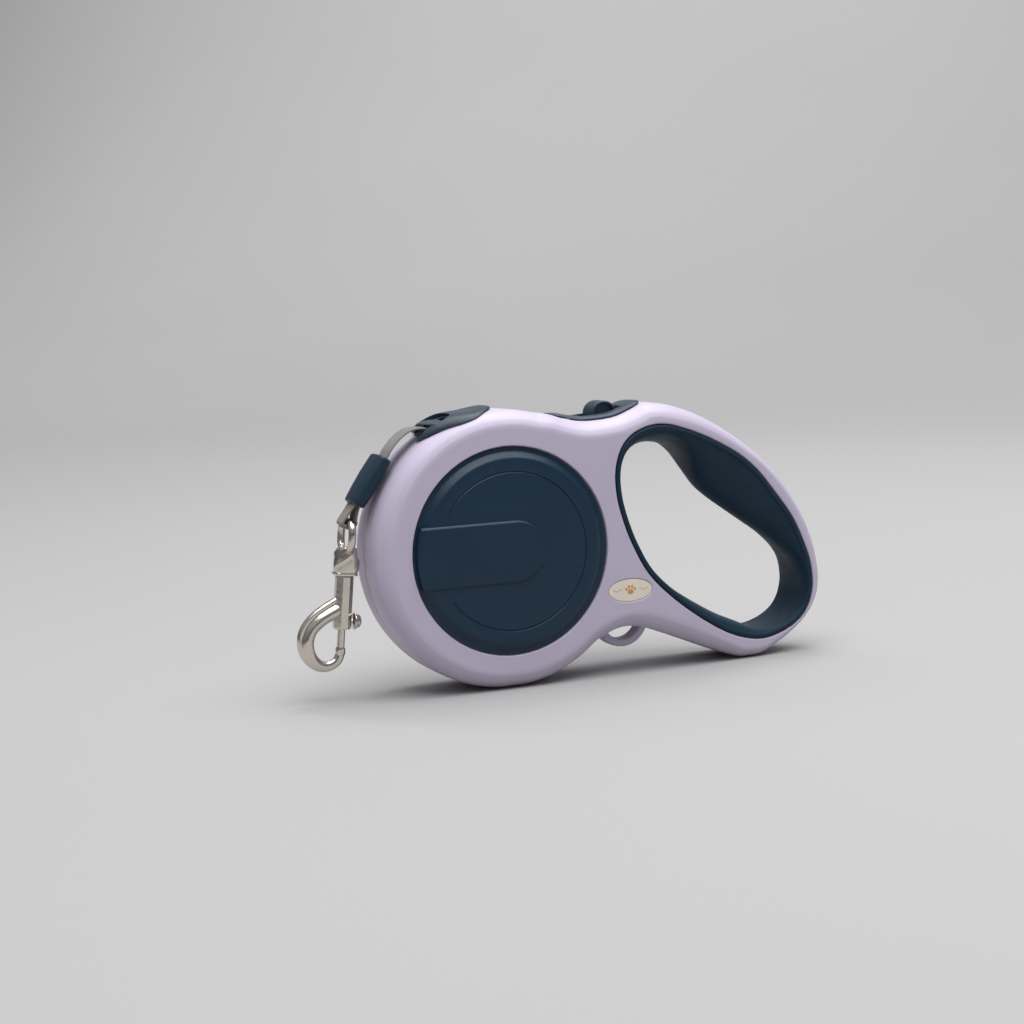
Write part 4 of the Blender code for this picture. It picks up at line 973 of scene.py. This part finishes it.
def eye():
    """The squarish eye that the tape folds round, with the collar in which the hook turns."""
    half_width, half_height, wire = 6.65, 5.35, 1.40
    rings = []
    for a in turn(96):
        ny, nd = sin(a), -cos(a)
        y = half_width * bulge(ny, 0.75)
        down = half_height * (1 + bulge(nd, 0.75))
        rings.append([on_hook(wire * sin(b), y + ny * wire * cos(b), down + nd * wire * cos(b))
                      for b in turn(24)])
    made = loft("eye_casting", rings, closed=True)
    collar = []
    profile = spline([(2.6, 9.2), (3.35, 10.0), (3.7, 11.4), (4.0, 13.0), (4.25, 15.0), (4.3, 17.2),
                      (4.15, 18.3)], 5)
    profile += [(4.45, 18.45), (4.55, 18.7), (4.5, 19.1), (4.2, 19.35)]
    for r, down in profile:
        ring = []
        for a in turn(96):
            twist = a * 3 + (down - 14.0) * 0.62 + 0.5 * sin((down - 14.0) * 0.9)
            fade = max(0.0, 1 - abs((down - 14.2) / 4.0) ** 4)
            lobe = max(0.0, cos(twist)) ** 3 * fade
            lug = exp(-((cos(a) - 1) / 0.10) ** 2) * max(0.0, 1 - abs((down - 14.6) / 2.6) ** 8)
            front = exp(-((sin(a) + 0.92) / 0.30) ** 2)
            flat = 4.15 / max(abs(sin(a)), 0.6)
            reach = (r + 0.62 * lobe) * (1 - 0.7 * front) + flat * 0.7 * front + 0.45 * lug
            ring.append(on_hook(reach * cos(a), reach * sin(a), down))
        collar.append(ring)
    carve(made, "UNION", loft("eye_collar", collar))
    return carve(made, "DIFFERENCE", loft("eye_bore", hook_rings(((1.6, 14.0), (1.6, 24.0)), 24)))


def hook():
    """The hook: an eight-sided barrel that holds the bolt, the bow, and the seat that the bolt closes on."""
    top, bottom, r = 19.9, 38.8, 3.4
    barrel = hook_rings(((r - 0.25, top - 0.35), (r, top), (r + 0.03, bottom - 1.2), (r, bottom - 0.35),
                         (r - 0.25, bottom)), 8, pi / 8)
    made = loft("hook_casting", barrel)
    rounding = made.modifiers.new("edges", "BEVEL")
    rounding.width, rounding.segments = 0.22 * MM, 3
    rounding.limit_method, rounding.angle_limit = "ANGLE", radians(30)
    settle(made)

    def groove(share, angle):
        along = max(0.0, min(share / 0.06, (0.56 - share) / 0.14, 1.0))
        turn = abs(atan2(sin(angle), cos(angle)))
        return 0.50 * along * exp(-((turn - radians(62)) / radians(24)) ** 2)

    carve(made, "UNION", hook_sweep("hook_bow", spline(HOOK_LINE, 9), groove))
    seat = hook_rings(((1.35, 45.4), (1.72, 45.55), (1.85, 46.0), (1.85, 47.4), (1.6, 48.4)), 28)
    carve(made, "UNION", loft("hook_seat", seat))
    pocket = ((1.7, top - 2), (1.7, top + 0.3), (2.65, top + 0.35), (2.65, top + 1.9))
    bore = loft("hook_bore", hook_rings(((1.65, top + 3.4), (1.65, bottom + 2)), 28))
    slot = loft("hook_slot", [[on_hook(u, y, down) for u, y in ((0, -0.9), (6, -0.9), (6, 0.9), (0, 0.9))]
                              for down in (27.4, 37.2)])
    return carve(made, "DIFFERENCE", loft("hook_pocket", hook_rings(pocket, 24)), bore, slot)


def gate():
    """The bolt that closes the hook, and the knob on its side."""
    rod = loft("gate_bolt", hook_rings(((1.1, 32.8), (1.42, 33.1), (1.42, 45.3), (1.3, 45.55)), 32))
    profile = ((0.5, 1.75), (0.75, 1.8), (0.75, 3.7), (0.95, 3.95), (2.1, 4.05), (2.75, 4.2), (3.05, 4.45),
               (3.1, 4.75), (2.95, 5.05), (2.55, 5.2), (2.45, 5.35), (2.5, 5.7), (2.35, 6.2), (1.9, 6.65),
               (1.2, 6.95), (0.4, 7.08))
    return rod, loft("gate_knob", [[on_hook(u, y, down) for y, down in circle(r, 48, (0.0, 36.0))]
                                   for r, u in profile])


# -------- stage
def stage():
    """A wide pale floor with a backdrop that rises softly behind the object."""
    look = Look("studio_paper", (0.375, 0.375, 0.372), 0.8, Specular_IOR_Level=0.2)
    look.base(look.mix(look.remap(look.noise(1.2, 2.0)), (0.368, 0.368, 0.366), (0.381, 0.380, 0.378)))
    look.bump(look.noise(900.0, 3.0), 0.00002, 0.2)
    section = [(-9.0, 0.0), (0.0, 0.0), (0.6, 0.0), (0.95, 0.0), (1.30, 0.0)]
    section += [(1.30 + 2.6 * sin(a), 2.6 - 2.6 * cos(a)) for a in quarter(40)[1:34]]
    section.append((section[-1][0] + 1.2, section[-1][1] + 4.0))
    c, s = polar(1.0, radians(-57.0))
    spans = (-9.0, -3.0, 0.0, 3.0, 9.0)
    verts = [(across * c - away * s, across * s + away * c, z) for across in spans for away, z in section]
    n = len(section)
    faces = [(i * n + k, (i + 1) * n + k, (i + 1) * n + k + 1, i * n + k + 1)
             for i in range(len(spans) - 1) for k in range(n - 1)]
    mesh = bpy.data.meshes.new("studio_sweep")
    mesh.from_pydata(verts, [], faces)
    mesh.shade_smooth()
    mesh.materials.append(look.material)
    add(bpy.data.objects.new("studio_sweep", mesh))


def area(name, place, target, width, height, power):
    data = bpy.data.lights.new(name, "AREA")
    data.shape, data.size, data.size_y = "RECTANGLE", width, height
    data.energy, data.color = power, (1.0, 0.99, 1.0)
    lamp = add(bpy.data.objects.new(name, data))
    lamp.location = place
    lamp.rotation_euler = (Vector(target) - Vector(place)).to_track_quat("-Z", "Y").to_euler()


def lights():
    """A broad light over the object, a wash on the backdrop, and a dome that is darker near the horizon."""
    world = bpy.data.worlds.new("studio")
    world.use_nodes = True
    nodes = Nodes(world.node_tree)
    height = nodes.split(nodes.node("ShaderNodeTexCoord").outputs["Generated"])["Z"]
    strength = nodes.remap(height, 0.10, 0.36, 0.0, 0.55, interpolation_type="SMOOTHSTEP")
    background = world.node_tree.nodes["Background"].inputs
    nodes.feed(background["Strength"], strength)
    nodes.feed(background["Color"], (0.95, 0.975, 1.0))
    bpy.context.scene.world = world
    area("overhead", (0.10, -0.24, 1.5), (-0.02, 0.0, 0.0), 2.2, 1.5, 43.5)
    area("backdrop_wash", (-0.25, 2.2, 3.3), (1.85, 3.95, 1.6), 3.6, 1.2, 150.0)
    bpy.context.scene.view_settings.view_transform = "Standard"


# -------- the build
camera()
FREE_TAPE, TAPE_PATH, TAPE_LENGTH = tape()
for end, side in SIDES:
    finish_piece(casing_shell(f"casing_{end}_shell", side), "casing", "lavender_shell", LAVENDER, f"casing_{end}")
for end, side in SIDES:
    finish_piece(cover(f"cover_{end}_disc", side), "casing", "navy_plastic", NAVY, f"side_cover_{end}", sharp=40)
finish_piece(grip(), "casing", "soft_grip", GRIP, "handle_grip", sharp=50, weighted=False)
finish_piece(badge(), "casing", "badge_cream", CREAM, "badge", sharp=50)
badge_print()
# the pads on the rim get the lighter copy of the navy, which paints in the light from above
for make, body, node in ((nozzle, "casing", "nozzle"), (saddle_pad, "casing", "button_bezel"),
                         (brake_plate, "brake", "brake_button"), (thumb_knob, "lock", "lock_knob")):
    finish_piece(make(), body, "navy_plastic", NAVY_PAINTED_LIGHTER, node, sharp=45)
brake_coil = coil("brake_coil", at(36.2, 0, 27.9), at(36.2, 0, 39.9), 1.9, 0.30, 6)
finish_piece(brake_coil, "casing", "steel", SPRING_STEEL, "brake_spring", weighted=False)
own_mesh(brake_coil)
for number, place in enumerate(SCREWS):
    finish_piece(slimmed(screw(f"case_screw_{number + 1}", place, 8.0, -7.5, 1.7, 0.8)), "casing", "steel", STEEL,
                 f"casing_screw_{number + 1}")
finish_piece(screw("hub_screw", (0.0, 0.0), 13.7, 5.0, 3.0, 0.9), "casing", "steel", STEEL, "axle_screw")

boot = finish_piece(sleeve(), "leash_end", "soft_sleeve", SLEEVE, "tape_sleeve", sharp=50)
eye_piece = finish_piece(eye(), "snap_eye", "nickel", NICKEL, "swivel_eye", sharp=45)
hook_piece = finish_piece(hook(), "snap_hook", "nickel", NICKEL, "hook_body", sharp=40)
rod, knob = gate()
finish_piece(rod, "snap_bolt", "nickel", NICKEL, "bolt", sharp=45)
finish_piece(knob, "snap_bolt", "nickel", NICKEL, "bolt_knob", sharp=45)
gate_coil = coil("gate_coil", on_hook(0, 0, 32.5), on_hook(0, 0, 23.6), 1.15, 0.24, 6)
finish_piece(gate_coil, "snap_hook", "steel", SPRING_STEEL, "bolt_spring", weighted=False)
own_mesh(gate_coil)

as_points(TAPE_PATH)

for node, look in (("reel", BLACK), ("reel_rear_flange", BLACK), ("spring_cup_lid", WHITE),
                   ("mainspring", SPRING_STEEL), ("tape_roll", TAPE_TURNS), ("reel_axle", WHITE),
                   ("bush_front", WHITE), ("bush_rear", WHITE), ("swivel_pin", STEEL)):
    frame["nodes"][node].data.materials.clear()
    frame["nodes"][node].data.materials.append(look)

stage()
lights()
